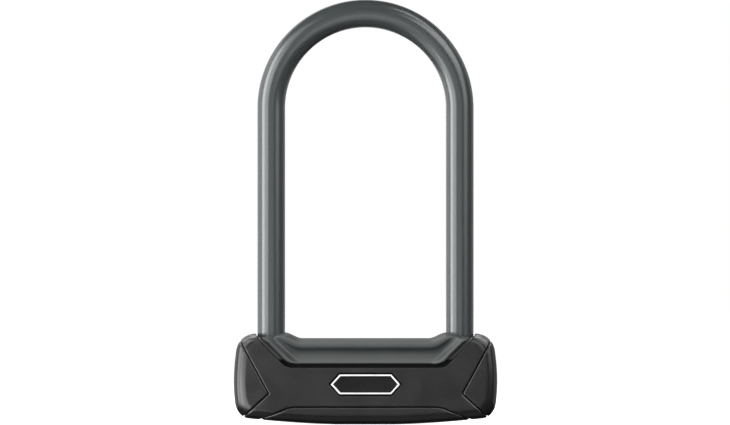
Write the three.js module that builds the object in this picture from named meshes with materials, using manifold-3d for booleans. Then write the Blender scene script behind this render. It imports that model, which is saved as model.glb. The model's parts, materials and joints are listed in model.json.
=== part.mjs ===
// A compact U lock, built as its real pieces: a coated steel shackle whose two legs drop into a lock body.
// The body is a steel case with two guide blocks, two deadbolts and a disc cylinder, in moulded covers.
// Millimetres, +Z up, front towards -Y, origin on the ground under the middle of the lock body.
// It is drawn unlocked with the shackle home: a quarter turn of the plug drives a bolt into each leg.

import * as THREE from 'three';
import { mergeVertices } from 'three/addons/utils/BufferGeometryUtils.js';
import Module from 'manifold-3d';

const wasm = await Module();
wasm.setup();

// Clearances and cutting
const fitGap = 0.3; // between pieces that seat on each other
const closeGap = 0.15; // between a pin and its hole
const seamGap = 0.4; // between neighbouring covers
const overrun = 5; // how far a cutting tool runs past the piece it cuts
const mergeDistance = 0.0001; // corners nearer than this are one corner

// Shackle
const legSpacing = 96.8; // centre to centre of the two legs
const legRise = 115.6; // straight leg above the lock body
const barDiameter = 12;
const coatingThickness = 1.1;
const legTipChamfer = 1.2;
const legSides = 18;
const bendSegments = 20;

// Seen from the front, the lock body's outline and seams are placed inwards from its ends (In), out from
// the axis of a leg (Out), down from its top (Drop) or at a height above the ground (Z)
const crownHeight = 10.4; // from the steel case to the top of the covers
const baseArcRadius = 548;
const baseFlatHalf = 14.8; // half the length of the flat that it stands on
const shoulder = { startIn: 11, endIn: 1, endDrop: 9.3, pull: 5.8, pullDown: 5.1, lean: 0.6 };
const flank = { bulge: 0.9, bowDrop: 23.8 };
const heel = { startIn: 7.5, endIn: 0.6, endZ: 11.3, pull: 3.4, pullDown: 4.6, lean: 0.6 };
const faceEdge = { insetX: 6.3, insetTop: 3.6, insetBase: 5.5, depth: 5.2 }; // to the front and rear
const roundingSteps = 3;
const curveSteps = 5;
const skin = 2.6; // wall of the moulded covers
const capSeam = { tipIn: 17.8, tipZ: 15.8, topIn: 3.2, topDrop: 3.5, baseIn: 6.2, baseZ: 5.2 };
const trimSeam = { baseIn: 15.5, baseZ: 3.1, cornerIn: 27.1, cornerZ: 8.2, flatIn: 31.2, highZ: 8.9 };
const saddleSeam = {
  topOut: 5.8, topRise: 0.2, kneeOut: 4.5, kneeDrop: 2.7, baseOut: -7.1, baseDrop: 13.9, cornerOut: -11.8,
  lowDrop: 15.4,
};
const saddleRebate = { width: 1.7, depth: 1 }; // step in the covers along the saddle's edge

// Grey saddle between the legs: its section from the lower lip, up a cove to a crease, over a bead to the
// top, placed inwards from the front face and down from the top of the covers
const saddleSection = {
  lipIn: 0.3, coveIn: 3.4, coveDrop: 12.3, creaseIn: 3.9, creaseDrop: 7.5,
  beadIn: 1.8, beadDrop: 6.4, beadTopIn: 4.4, topIn: 8.4, topDrop: 2.5,
};
const saddleFlare = { startOut: -16, peakOut: -5, endOut: 4.1, rise: 3.3, left: 0.5, creaseRise: 4.6 };
const flareSteps = 4; // on each side of the flare's peak
const saddleEndOut = 11.6;

// Steel case inside the covers
const caseBottom = 7;
const caseWall = 2.6;
const caseCorner = 3;
const caseRoom = 0.5; // between the cylinder's flange and the case's walls
const faceStandoff = 2.9; // from the case to the covers' inner faces
const endStandoff = 4.1;

// Ribs inside the covers and the stud inside each end cap
const rib = { thickness: 1.6, count: 7, endIn: 4.7, lowGap: 2.1, highGap: 0.7 };
const trimRib = { thickness: 1.6, count: 6, endIn: 6.3, halfDepth: 8 };
const stud = { sideInset: 3.9, endInset: 4.4 };

// End plugs, roll pins and guide blocks
const endPlugThickness = 4;
const rollPinDiameter = 2.5;
const guideWall = 1.8; // beyond the leg's bore
const guideClear = 7.6; // between the cylinder and a guide block

// Leg seals
const legSeal = { thickness: 1.4, height: 2.4, gap: 0.2 };

// Deadbolts, their keeper and the cam that drives them
const bolt = { height: 6, depth: 9, restGap: 0.8, tailWall: 1, tailEndWall: 0.6, notchGap: 0.6 };
const cam = {
  edgeInset: 0.6, thickness: 2, pinOrbit: 3.35, pinDiameter: 2, slotGap: 0.25,
  bossDepth: 2.8, dogWidth: 3, dogHeight: 1.5,
};
const keeperThickness = 1;

// Disc cylinder, with its axis on the Z axis
const keyway = { width: 3, length: 7.8 };
const disc = { count: 6, thickness: 1.2, rim: 1.6 }; // rim: from the key slot's ends to the disc's edge
const guardThickness = 1.2;
const plug = { wall: 1, faceWall: 2.6, step: 0.5 };
const housing = { wall: 1.5, faceZ: 1.2, flangeWidth: 0.8, flangeHeight: 2 };
const sidebarDiameter = 1.6;
const falseGate = { rise: 0.6, spreadDegrees: 150 }; // shallower than the true gates
const crossPin = { diameter: 2, drop: 6 }; // drop: below the cam
const roundSides = 28;
const smallSides = 12;

// Spring flap behind the key's mouth
const flap = { thickness: 0.8, overlap: 0.4, hingeOut: 1, knuckleRadius: 1.1, knuckleHalf: 1.5 };
const flapPin = { diameter: 0.8, engagement: 0.8 };
const flapSpring = { wire: 0.25, pitch: 0.45, legReach: 2.4, turns: 2.25, stepsPerTurn: 10, sides: 5 };

// Seal round the cylinder's face, and the plate on the front cover
const faceSeal = { thickness: 1.35, lowZ: 0.6, height: 4.2 };
const badge = {
  halfLength: 17.8, halfHeight: 5.1, pointLength: 4.6, centreZ: 20.6, thickness: 0.8, sink: 0.1,
};

// The cylinder's radii, from the key slot outwards
const discRadius = keyway.length / 2 + disc.rim;
const plugBore = discRadius + fitGap;
const plugLowerBore = plugBore - plug.step;
const plugRadius = plugBore + plug.wall;
const housingBore = plugRadius + fitGap;
const housingRadius = housingBore + housing.wall;
const flangeRadius = housingRadius + housing.flangeWidth;
const camRadius = housingRadius - cam.edgeInset;
const mouthHoleRadius = housingRadius + fitGap + faceSeal.thickness + fitGap;
const sidebarOrbit = plugRadius - sidebarDiameter / 2 - closeGap;
const sidebarSlotRadius = sidebarDiameter / 2 + fitGap;
const crossPinX = housingRadius + crossPin.diameter / 2 - housing.wall / 2 + closeGap;

// The stack inside the body, from the key's mouth upwards
const plugFloor = housing.faceZ + plug.faceWall;
const flapHingeX = keyway.width / 2 + flap.overlap + flap.hingeOut;
const flapHingeZ = plugFloor + fitGap + flap.knuckleRadius;
const flapReach = flapHingeX + keyway.width / 2 + flap.overlap;
const flapHalfLength = keyway.length / 2 + closeGap;
const flapPinHalf = Math.sqrt(plugLowerBore * plugLowerBore - flapHingeX * flapHingeX) + flapPin.engagement;
const guardSeatZ = flapHingeZ + flapReach + fitGap;
const guardBottom = guardSeatZ + fitGap;
const firstDiscZ = guardBottom + guardThickness + fitGap;
const discPitch = disc.thickness + fitGap;
const bossBottom = firstDiscZ + disc.count * discPitch;
const camBottom = bossBottom + cam.bossDepth;
const camTop = camBottom + cam.thickness;
const housingTop = camBottom - fitGap;
const boltBottom = camTop + fitGap;
const boltTop = boltBottom + bolt.height;
const keeperBottom = boltTop + fitGap;
const caseFloor = caseBottom + caseWall;
const caseCeiling = keeperBottom + keeperThickness + fitGap;
const caseTop = caseCeiling + caseWall;
const bodyTop = caseTop + crownHeight;
const bendCentreZ = bodyTop + legRise;
const crossPinZ = camBottom - crossPin.drop;
const rollPinZ = (caseTop + caseBottom) / 2;

// Along the body, from the cylinder to its ends
const barRadius = barDiameter / 2;
const coatingRadius = barRadius + coatingThickness;
const legX = legSpacing / 2;
const legHoleRadius = coatingRadius + fitGap + closeGap;
const legBoreRadius = barRadius + fitGap;
const guideInnerX = housingRadius + guideClear;
const guideEndX = legX + legBoreRadius + guideWall;
const endPlugInnerX = guideEndX + fitGap;
const caseHalfLength = endPlugInnerX + endPlugThickness;
const rollPinX = caseHalfLength - endPlugThickness / 2;
const bodyHalfWidth = caseHalfLength + endStandoff + skin;

// Through the body, from the cylinder to the front and rear faces
const caseInnerHalfDepth = flangeRadius + caseRoom;
const caseHalfDepth = caseInnerHalfDepth + caseWall;
const bodyHalfDepth = caseHalfDepth + faceStandoff + skin;

// The bolts' travel: each cam pin turns through the quarter about the crosswise line
const pinRestOffset = cam.pinOrbit * Math.SQRT1_2;
const boltTravel = 2 * pinRestOffset;
const boltTipX = legX - barRadius - bolt.restGap;
const boltTailX = guideInnerX - boltTravel - fitGap;
const notchFloorX = boltTipX + boltTravel + bolt.notchGap;

const materials = {
  steelBar: new THREE.MeshStandardMaterial({ color: 0x8d9092, roughness: 0.35, metalness: 1 }),
  coating: new THREE.MeshStandardMaterial({ color: 0x50575a, roughness: 0.38, metalness: 0.3 }),
  caseSteel: new THREE.MeshStandardMaterial({ color: 0x5b5d60, roughness: 0.45, metalness: 0.9 }),
  pinSteel: new THREE.MeshStandardMaterial({ color: 0x9a9c9f, roughness: 0.3, metalness: 1 }),
  zinc: new THREE.MeshStandardMaterial({ color: 0x8b8d90, roughness: 0.6, metalness: 0.8 }),
  brass: new THREE.MeshStandardMaterial({ color: 0xb08d4a, roughness: 0.35, metalness: 1 }),
  coverBlack: new THREE.MeshStandardMaterial({ color: 0x1f1f20, roughness: 0.4, metalness: 0 }),
  saddleGrey: new THREE.MeshStandardMaterial({ color: 0x4a5052, roughness: 0.6, metalness: 0 }),
  rubber: new THREE.MeshStandardMaterial({ color: 0x101010, roughness: 0.8, metalness: 0 }),
  plate: new THREE.MeshStandardMaterial({ color: 0xc8c9ca, roughness: 0.3, metalness: 0.9 }),
};

// Turns a closed geometry into a solid that can be cut and joined
function solid(geometry) {
  const bare = geometry.clone();
  bare.deleteAttribute('normal');
  bare.deleteAttribute('uv');
  const merged = mergeVertices(bare, mergeDistance);
  return new wasm.Manifold(new wasm.Mesh({
    numProp: 3,
    vertProperties: merged.attributes.position.array,
    triVerts: new Uint32Array(merged.index.array),
  }));
}

// Turns a solid into a named mesh of the exported group
function mesh(name, shape, material) {
  const data = shape.getMesh();
  const geometry = new THREE.BufferGeometry();
  geometry.setAttribute('position', new THREE.BufferAttribute(data.vertProperties, 3));
  geometry.setIndex(new THREE.BufferAttribute(data.triVerts, 1));
  geometry.computeVertexNormals();
  const made = new THREE.Mesh(geometry, material);
  made.name = name;
  return made;
}

function union(shapes) {
  return shapes.reduce((whole, shape) => whole.add(shape));
}

function box(lowX, highX, lowY, highY, lowZ, highZ) {
  const geometry = new THREE.BoxGeometry(highX - lowX, highY - lowY, highZ - lowZ);
  geometry.translate((lowX + highX) / 2, (lowY + highY) / 2, (lowZ + highZ) / 2);
  return solid(geometry);
}

// A round bar along Z
function roundZ(radius, x, y, lowZ, highZ, sides = roundSides) {
  const geometry = new THREE.CylinderGeometry(radius, radius, highZ - lowZ, sides);
  geometry.rotateX(Math.PI / 2);
  geometry.translate(x, y, (lowZ + highZ) / 2);
  return solid(geometry);
}

// A round bar along Y
function roundY(radius, x, z, lowY, highY, sides = smallSides) {
  const geometry = new THREE.CylinderGeometry(radius, radius, highY - lowY, sides);
  geometry.translate(x, (lowY + highY) / 2, z);
  return solid(geometry);
}

function ringZ(outer, inner, x, lowZ, highZ) {
  const bore = roundZ(inner, x, 0, lowZ - overrun, highZ + overrun);
  return roundZ(outer, x, 0, lowZ, highZ).subtract(bore);
}

// An outline seen from the front, as [x, z] points, run through the depth from lowY to highY
function frontPrism(points, lowY, highY) {
  const shape = new THREE.Shape(points.map(([x, z]) => new THREE.Vector2(x, z)));
  const geometry = new THREE.ExtrudeGeometry(shape, { depth: highY - lowY, bevelEnabled: false });
  geometry.rotateX(Math.PI / 2);
  geometry.translate(0, highY, 0);
  return solid(geometry);
}

// The case's section with rounded corners, grown or shrunk by a distance, run along X
function caseSection(growth, lowX, highX) {
  const halfDepth = caseHalfDepth + growth;
  const halfHeight = (caseTop - caseBottom) / 2 + growth;
  const radius = Math.max(caseCorner + growth, fitGap);
  const shape = new THREE.Shape();
  shape.absarc(halfDepth - radius, halfHeight - radius, radius, 0, Math.PI / 2);
  shape.absarc(radius - halfDepth, halfHeight - radius, radius, Math.PI / 2, Math.PI);
  shape.absarc(radius - halfDepth, radius - halfHeight, radius, Math.PI, Math.PI * 3 / 2);
  shape.absarc(halfDepth - radius, radius - halfHeight, radius, Math.PI * 3 / 2, Math.PI * 2);
  const settings = { depth: highX - lowX, bevelEnabled: false, curveSegments: roundingSteps };
  const geometry = new THREE.ExtrudeGeometry(shape, settings);
  geometry.rotateX(Math.PI / 2);
  geometry.rotateZ(Math.PI / 2);
  geometry.translate(lowX, 0, (caseTop + caseBottom) / 2);
  return solid(geometry);
}

// Skins a closed solid over a row of rings with equal counts of points, and closes its two ends flat
function skinned(rings, flatten) {
  const count = rings[0].length;
  const last = (rings.length - 1) * count;
  const index = [];
  for (let start = 0; start < last; start += count) {
    for (let i = 0; i < count; i++) {
      const j = (i + 1) % count;
      const far = start + count;
      index.push(start + i, start + j, far + j, start + i, far + j, far + i);
    }
  }
  for (const [a, b, c] of THREE.ShapeUtils.triangulateShape(rings[0].map(flatten), [])) {
    index.push(c, b, a, last + a, last + b, last + c);
  }
  const geometry = new THREE.BufferGeometry();
  const positions = rings.flat().flatMap((p) => [p.x, p.y, p.z]);
  geometry.setAttribute('position', new THREE.Float32BufferAttribute(positions, 3));
  geometry.setIndex(index);
  return solid(geometry);
}

// Mirrors the right half of an outline, given from the bottom up, and joins it to its mirror image
function bothSides(rightHalf) {
  const leftHalf = rightHalf.map(([x, z]) => [-x, z]).reverse();
  return [...rightHalf, ...leftHalf];
}

// Moves every edge of an anticlockwise outline outwards by a distance
function grown(points, distance) {
  return points.map(([x, z], i) => {
    const [lastX, lastZ] = points.at(i - 1);
    const [nextX, nextZ] = points[(i + 1) % points.length];
    const before = new THREE.Vector2(x - lastX, z - lastZ).normalize();
    const after = new THREE.Vector2(nextX - x, nextZ - z).normalize();
    const out = new THREE.Vector2(before.y + after.y, -before.x - after.x);
    out.multiplyScalar(distance * 2 / out.lengthSq());
    return [x + out.x, z + out.y];
  });
}

// The point that lies a distance past the second point, on the line through both
function beyond([fromX, fromZ], [toX, toZ], distance) {
  const step = new THREE.Vector2(toX - fromX, toZ - fromZ).setLength(distance);
  return [toX + step.x, toZ + step.y];
}

// The lock body's outline seen from the front, anticlockwise
function bodyOutline() {
  const baseZ = (x) => (x * x - baseFlatHalf * baseFlatHalf) / (2 * baseArcRadius);
  const heelX = bodyHalfWidth - heel.startIn;
  const heelEnd = { x: bodyHalfWidth - heel.endIn, z: heel.endZ };
  const shoulderEnd = { x: bodyHalfWidth - shoulder.endIn, z: bodyTop - shoulder.endDrop };
  const shoulderX = bodyHalfWidth - shoulder.startIn;
  const belly = [];
  for (let i = 0; i < curveSteps; i++) {
    const x = baseFlatHalf + (heelX - baseFlatHalf) * i / curveSteps;
    belly.push([x, baseZ(x)]);
  }
  const path = new THREE.Path();
  path.moveTo(heelX, baseZ(heelX));
  path.bezierCurveTo(
    heelX + heel.pull, baseZ(heelX + heel.pull),
    heelEnd.x - heel.lean, heelEnd.z - heel.pullDown,
    heelEnd.x, heelEnd.z,
  );
  path.quadraticCurveTo(bodyHalfWidth + flank.bulge, bodyTop - flank.bowDrop, shoulderEnd.x, shoulderEnd.z);
  path.bezierCurveTo(
    shoulderEnd.x - shoulder.lean, shoulderEnd.z + shoulder.pullDown,
    shoulderX + shoulder.pull, bodyTop,
    shoulderX, bodyTop,
  );
  const corner = path.getPoints(curveSteps).map((p) => [p.x, p.y]);
  return bothSides([...belly, ...corner]);
}

// The rounded block that the covers are moulded to, drawn in by a wall
function bodyBlock(wall) {
  const drawn = (low, high, value) => low + wall + (value - low) * (high - low - 2 * wall) / (high - low);
  const drawnIn = ([x, z]) => [drawn(-bodyHalfWidth, bodyHalfWidth, x), drawn(0, bodyTop, z)];
  const outline = bodyOutline().map(drawnIn);
  const edged = outline.map(([x, z]) => [
    x * (1 - faceEdge.insetX / bodyHalfWidth),
    faceEdge.insetBase + z * (1 - (faceEdge.insetBase + faceEdge.insetTop) / bodyTop),
  ]);
  const halfDepth = bodyHalfDepth - wall;
  const ring = (step, side) => {
    const angle = Math.PI / 2 * step / roundingSteps;
    const y = side * (halfDepth - faceEdge.depth * (1 - Math.sin(angle)));
    return outline.map(([x, z], i) => new THREE.Vector3(
      THREE.MathUtils.lerp(edged[i][0], x, Math.cos(angle)),
      y,
      THREE.MathUtils.lerp(edged[i][1], z, Math.cos(angle)),
    ));
  };
  const rings = [];
  for (let step = roundingSteps; step >= 0; step--) {
    rings.push(ring(step, 1));
  }
  for (let step = 0; step <= roundingSteps; step++) {
    rings.push(ring(step, -1));
  }
  return skinned(rings, (p) => new THREE.Vector2(p.x, p.z));
}

// The region of an end cap on the right, seen from the front, anticlockwise
function capRegion() {
  const tip = [bodyHalfWidth - capSeam.tipIn, capSeam.tipZ];
  const top = [bodyHalfWidth - capSeam.topIn, bodyTop - capSeam.topDrop];
  const base = [bodyHalfWidth - capSeam.baseIn, capSeam.baseZ];
  const farX = bodyHalfWidth + 2 * overrun;
  const farTop = [farX, bodyTop + overrun];
  const farBase = [farX, -2 * overrun];
  return [beyond(tip, base, 2 * overrun), farBase, farTop, beyond(tip, top, overrun), tip];
}

// The region of the saddle between the two leg seams
function saddleRegion() {
  const lowZ = bodyTop - saddleSeam.lowDrop;
  const baseX = legX + saddleSeam.baseOut;
  const baseZ = bodyTop - saddleSeam.baseDrop;
  const path = new THREE.Path();
  path.moveTo(legX + saddleSeam.cornerOut, lowZ);
  path.quadraticCurveTo(baseX - (baseZ - lowZ), lowZ, baseX, baseZ);
  const corner = path.getPoints(roundingSteps).map((p) => [p.x, p.y]);
  const knee = [legX + saddleSeam.kneeOut, bodyTop - saddleSeam.kneeDrop];
  const top = [legX + saddleSeam.topOut, bodyTop + saddleSeam.topRise];
  return bothSides([...corner, knee, beyond(knee, top, overrun)]);
}

// The region of the trim strip along the bottom
function trimRegion() {
  const corner = [bodyHalfWidth - trimSeam.cornerIn, trimSeam.cornerZ];
  const base = [bodyHalfWidth - trimSeam.baseIn, trimSeam.baseZ];
  const flat = [bodyHalfWidth - trimSeam.flatIn, trimSeam.highZ];
  return bothSides([beyond(corner, base, 2 * overrun), corner, flat]);
}

function mirrored([x, z]) {
  return [-x, z];
}

const outerBlock = bodyBlock(0);
const innerBlock = bodyBlock(skin);
const halfSeam = seamGap / 2;
const farY = bodyHalfDepth + overrun;

// A prism over one region of the front view, through the whole body
function regionPrism(points, growth) {
  return frontPrism(grown(points, growth), -farY, farY);
}

function capPrism(side, growth) {
  const points = side > 0 ? capRegion() : capRegion().map(mirrored).reverse();
  return regionPrism(points, growth);
}

// What the covers leave free: the case, both legs and their seals
function coverClearance() {
  const cuts = [caseSection(fitGap, -caseHalfLength - fitGap, caseHalfLength + fitGap)];
  const sealRadius = coatingRadius + legSeal.gap + legSeal.thickness + fitGap;
  const sealTop = caseTop + fitGap + legSeal.height;
  for (const side of [-1, 1]) {
    cuts.push(roundZ(legHoleRadius, side * legX, 0, caseTop - overrun, bodyTop + overrun));
    cuts.push(roundZ(sealRadius, side * legX, 0, caseTop - overrun, sealTop + fitGap));
  }
  return union(cuts);
}
const clearance = coverClearance();

// The low and high X of ribs spread evenly from one side to the other
function ribPlaces(endX, count, thickness) {
  const places = [];
  for (let i = 0; i < count; i++) {
    const x = THREE.MathUtils.lerp(-endX, endX, i / (count - 1));
    places.push([x - thickness / 2, x + thickness / 2]);
  }
  return places;
}

// Front or rear cover: the skin that is left once the caps, the saddle and the trim are taken away
function cover(side) {
  const seams = union([
    capPrism(-1, halfSeam),
    capPrism(1, halfSeam),
    regionPrism(saddleRegion(), halfSeam),
    regionPrism(saddleRegion(), saddleRebate.width).subtract(bodyBlock(saddleRebate.depth)),
    regionPrism(trimRegion(), halfSeam),
  ]);
  const farX = bodyHalfWidth + overrun;
  const half = side > 0
    ? box(-farX, farX, halfSeam, farY, -overrun, bodyTop + overrun)
    : box(-farX, farX, -farY, -halfSeam, -overrun, bodyTop + overrun);
  const shell = outerBlock.subtract(innerBlock).intersect(half).subtract(seams);
  const inner = bodyHalfDepth - skin / 2;
  const [lowY, highY] = side > 0 ? [caseHalfDepth, inner] : [-inner, -caseHalfDepth];
  const lowZ = trimSeam.highZ + rib.lowGap;
  const highZ = bodyTop - saddleSeam.lowDrop - saddleRebate.width - rib.highGap;
  const endX = bodyHalfWidth - capSeam.tipIn - rib.endIn;
  const ribs = ribPlaces(endX, rib.count, rib.thickness).map(([lowX, highX]) => (
    box(lowX, highX, lowY, highY, lowZ, highZ)
  ));
  return union([shell, ...ribs]).subtract(clearance);
}

// End cap: its skin, and a stud inside that seats on the end plug
function endCap(side) {
  const shell = outerBlock.intersect(capPrism(side, -halfSeam)).subtract(innerBlock);
  const nearX = caseHalfLength + fitGap;
  const farX = bodyHalfWidth - skin / 2;
  const [lowX, highX] = side > 0 ? [nearX, farX] : [-farX, -nearX];
  const halfDepth = caseInnerHalfDepth - stud.sideInset;
  const lowZ = caseFloor + stud.endInset;
  const highZ = caseCeiling - stud.endInset;
  return shell.add(box(lowX, highX, -halfDepth, halfDepth, lowZ, highZ)).subtract(clearance);
}

// The saddle's section at x, from the lower lip over the top to the other lip
function saddleRing(x) {
  const { startOut, peakOut, endOut, rise, left, creaseRise } = saddleFlare;
  const out = Math.abs(x) - legX;
  const risen = THREE.MathUtils.smoothstep(out, startOut, peakOut);
  const fallen = THREE.MathUtils.clamp((out - peakOut) / (endOut - peakOut), 0, 1);
  const lift = rise * risen - (rise - left) * (1 - (1 - fallen) ** 2);
  const creaseLift = creaseRise * THREE.MathUtils.clamp(1 - out / startOut, 0, 1) ** 2;
  const section = saddleSection;
  const at = (inset, drop, raised) => [bodyHalfDepth - inset, bodyTop - drop + raised];
  const path = new THREE.Path();
  path.moveTo(...at(section.lipIn, saddleSeam.lowDrop, 0));
  path.quadraticCurveTo(
    ...at(section.coveIn, section.coveDrop, 0),
    ...at(section.creaseIn, section.creaseDrop, creaseLift),
  );
  path.bezierCurveTo(
    ...at(section.beadIn, section.beadDrop, creaseLift),
    ...at(section.beadTopIn, section.topDrop, lift),
    ...at(section.topIn, section.topDrop, lift),
  );
  const half = path.getPoints(curveSteps).map((p) => [p.x, p.y]);
  const outline = bothSides([at(section.lipIn, saddleSeam.lowDrop, -overrun), ...half]);
  return outline.map(([y, z]) => new THREE.Vector3(x, y, z));
}

function saddle() {
  const { startOut, peakOut, endOut } = saddleFlare;
  const stations = [legX + startOut];
  for (const [from, to] of [[startOut, peakOut], [peakOut, endOut]]) {
    for (let i = 1; i <= flareSteps; i++) {
      stations.push(legX + THREE.MathUtils.lerp(from, to, i / flareSteps));
    }
  }
  stations.push(legX + saddleEndOut);
  const mirroredStations = stations.map((x) => -x).reverse();
  const rings = [...mirroredStations, ...stations].map(saddleRing);
  const block = skinned(rings, (p) => new THREE.Vector2(p.y, p.z));
  const shaped = block.intersect(regionPrism(saddleRegion(), -halfSeam));
  const hollowX = legX - coatingRadius - 2 * skin;
  const hollowY = bodyHalfDepth - saddleSection.creaseIn - skin;
  const hollowTop = bodyTop - saddleSection.topDrop - skin;
  const hollow = box(-hollowX, hollowX, -hollowY, hollowY, caseTop - overrun, hollowTop);
  return shaped.subtract(hollow).subtract(clearance);
}

// Bottom trim: a shallow channel with ribs under the case and a round opening for the cylinder's face
function bottomTrim() {
  const shell = outerBlock.intersect(regionPrism(trimRegion(), -halfSeam)).subtract(innerBlock);
  const endX = bodyHalfWidth - trimSeam.flatIn - trimRib.endIn;
  const ribs = ribPlaces(endX, trimRib.count, trimRib.thickness).map(([lowX, highX]) => (
    box(lowX, highX, -trimRib.halfDepth, trimRib.halfDepth, skin / 2, caseBottom)
  ));
  const mouth = roundZ(mouthHoleRadius, 0, 0, -overrun, caseBottom + overrun);
  return union([shell, ...ribs]).subtract(mouth).subtract(clearance);
}

// The plate on the front: an elongated hexagon seen from the front, anticlockwise
function badgeOutline() {
  const shoulderX = badge.halfLength - badge.pointLength;
  const top = badge.centreZ + badge.halfHeight;
  const base = badge.centreZ - badge.halfHeight;
  return bothSides([[shoulderX, base], [badge.halfLength, badge.centreZ], [shoulderX, top]]);
}
const badgeFront = -bodyHalfDepth + badge.sink;
const badgeBack = badgeFront + badge.thickness;

// A half circle over the two legs
class BendCurve extends THREE.Curve {
  getPoint(share) {
    const angle = Math.PI * (1 - share);
    return new THREE.Vector3(legX * Math.cos(angle), 0, bendCentreZ + legX * Math.sin(angle));
  }
}

// A circle of points round a centre, in the plane of the Y axis and a direction in the front view
function crossRing(radius, centre, angle) {
  const ring = [];
  for (let i = 0; i < legSides; i++) {
    const turn = Math.PI * 2 * i / legSides;
    const out = radius * Math.cos(turn);
    const y = -radius * Math.sin(turn);
    ring.push(new THREE.Vector3(centre.x + out * Math.cos(angle), y, centre.z + out * Math.sin(angle)));
  }
  return ring;
}

// A round bar bent to the shackle's U, with its lower ends tapered over a chamfer
function bentBar(radius, lowZ, chamfer) {
  const legEnd = (side) => {
    const angle = side > 0 ? 0 : Math.PI;
    const full = crossRing(radius, new THREE.Vector3(side * legX, 0, lowZ + chamfer), angle);
    const tip = crossRing(radius - chamfer, new THREE.Vector3(side * legX, 0, lowZ), angle);
    return chamfer > 0 ? [tip, full] : [full];
  };
  const bend = new BendCurve();
  const arch = [];
  for (let i = 0; i <= bendSegments; i++) {
    const share = i / bendSegments;
    arch.push(crossRing(radius, bend.getPoint(share), Math.PI * (1 - share)));
  }
  const rings = [...legEnd(-1), ...arch, ...legEnd(1).reverse()];
  return skinned(rings, (p) => new THREE.Vector2(p.x, p.y));
}

function shackleBar() {
  const lowZ = boltBottom - fitGap;
  const highZ = boltTop + fitGap;
  const farX = notchFloorX - 2 * barRadius;
  return bentBar(barRadius, caseFloor + fitGap, legTipChamfer)
    .subtract(box(farX, notchFloorX, -farY, farY, lowZ, highZ))
    .subtract(box(-notchFloorX, -farX, -farY, farY, lowZ, highZ));
}

function shackleCoating() {
  const lowZ = caseTop + fitGap;
  return bentBar(coatingRadius, lowZ, 0).subtract(bentBar(barRadius + closeGap, lowZ - overrun, 0));
}

// The steel case: a square tube with holes for the legs, the cylinder and the pins
function steelCase() {
  const tube = caseSection(0, -caseHalfLength, caseHalfLength);
  const cuts = [
    caseSection(-caseWall, -caseHalfLength - overrun, caseHalfLength + overrun),
    roundZ(legBoreRadius, -legX, 0, caseCeiling - overrun, caseTop + overrun),
    roundZ(legBoreRadius, legX, 0, caseCeiling - overrun, caseTop + overrun),
    roundZ(housingRadius + fitGap, 0, 0, -overrun, caseFloor + overrun),
    roundY(rollPinDiameter / 2 + closeGap, -rollPinX, rollPinZ, -farY, farY),
    roundY(rollPinDiameter / 2 + closeGap, rollPinX, rollPinZ, -farY, farY),
    roundY(crossPin.diameter / 2 + closeGap, crossPinX, crossPinZ, -farY, farY),
  ];
  return tube.subtract(union(cuts));
}

function endPlug(side) {
  const [lowX, highX] = side > 0 ? [endPlugInnerX, caseHalfLength] : [-caseHalfLength, -endPlugInnerX];
  const hole = roundY(rollPinDiameter / 2 + closeGap, side * rollPinX, rollPinZ, -farY, farY);
  return caseSection(-caseWall - fitGap, lowX, highX).subtract(hole);
}

function rollPin(side) {
  return roundY(rollPinDiameter / 2, side * rollPinX, rollPinZ, -caseHalfDepth, caseHalfDepth);
}

// A cast block that holds one leg's end and guides one bolt
function guideBlock(side) {
  const [lowX, highX] = side > 0 ? [guideInnerX, guideEndX] : [-guideEndX, -guideInnerX];
  const halfChannel = bolt.depth / 2 + fitGap;
  const channelX = side > 0 ? [guideInnerX - overrun, legX] : [-legX, -guideInnerX + overrun];
  return caseSection(-caseWall - fitGap, lowX, highX)
    .subtract(roundZ(legBoreRadius, side * legX, 0, caseBottom - overrun, caseTop + overrun))
    .subtract(box(...channelX, -halfChannel, halfChannel, boltBottom - fitGap, boltTop + fitGap));
}

// A deadbolt: its head runs in the guide block, its tail takes one of the cam's pins in a crosswise slot
function deadbolt(side) {
  const halfDepth = bolt.depth / 2;
  const halfSlot = cam.pinDiameter / 2 + cam.slotGap;
  const slotEnd = cam.pinOrbit + halfSlot;
  const endX = -slotEnd - bolt.tailEndWall;
  const head = box(boltTailX - fitGap, boltTipX, -halfDepth, halfDepth, boltBottom, boltTop);
  const tail = box(endX, boltTailX, fitGap, slotEnd + bolt.tailWall, boltBottom, boltTop);
  const slot = box(
    -pinRestOffset - halfSlot, -pinRestOffset + halfSlot,
    pinRestOffset - halfSlot, slotEnd,
    boltBottom - overrun, boltTop + overrun,
  );
  const right = head.add(tail).subtract(slot);
  return side > 0 ? right : right.rotate([0, 0, 180]);
}

function boltKeeper() {
  const halfLength = guideInnerX - fitGap;
  const halfWidth = caseInnerHalfDepth - fitGap;
  return box(-halfLength, halfLength, -halfWidth, halfWidth, keeperBottom, keeperBottom + keeperThickness);
}

function cylinderHousing() {
  const flangeZ = caseFloor + fitGap;
  const grooveZ = firstDiscZ - fitGap;
  return roundZ(housingRadius, 0, 0, housing.faceZ, housingTop)
    .add(roundZ(flangeRadius, 0, 0, flangeZ, flangeZ + housing.flangeHeight))
    .subtract(roundZ(housingBore, 0, 0, -overrun, housingTop + overrun))
    .subtract(roundY(crossPin.diameter / 2 + closeGap, crossPinX, crossPinZ, -farY, farY))
    .subtract(roundZ(sidebarSlotRadius, 0, plugRadius, grooveZ, bossBottom, smallSides));
}

function cylinderCrossPin() {
  return roundY(crossPin.diameter / 2, crossPinX, crossPinZ, -caseHalfDepth, caseHalfDepth);
}

function keySlot() {
  const halfWidth = keyway.width / 2;
  const halfLength = keyway.length / 2;
  return box(-halfWidth, halfWidth, -halfLength, halfLength, -overrun, housingTop + overrun);
}

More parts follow.
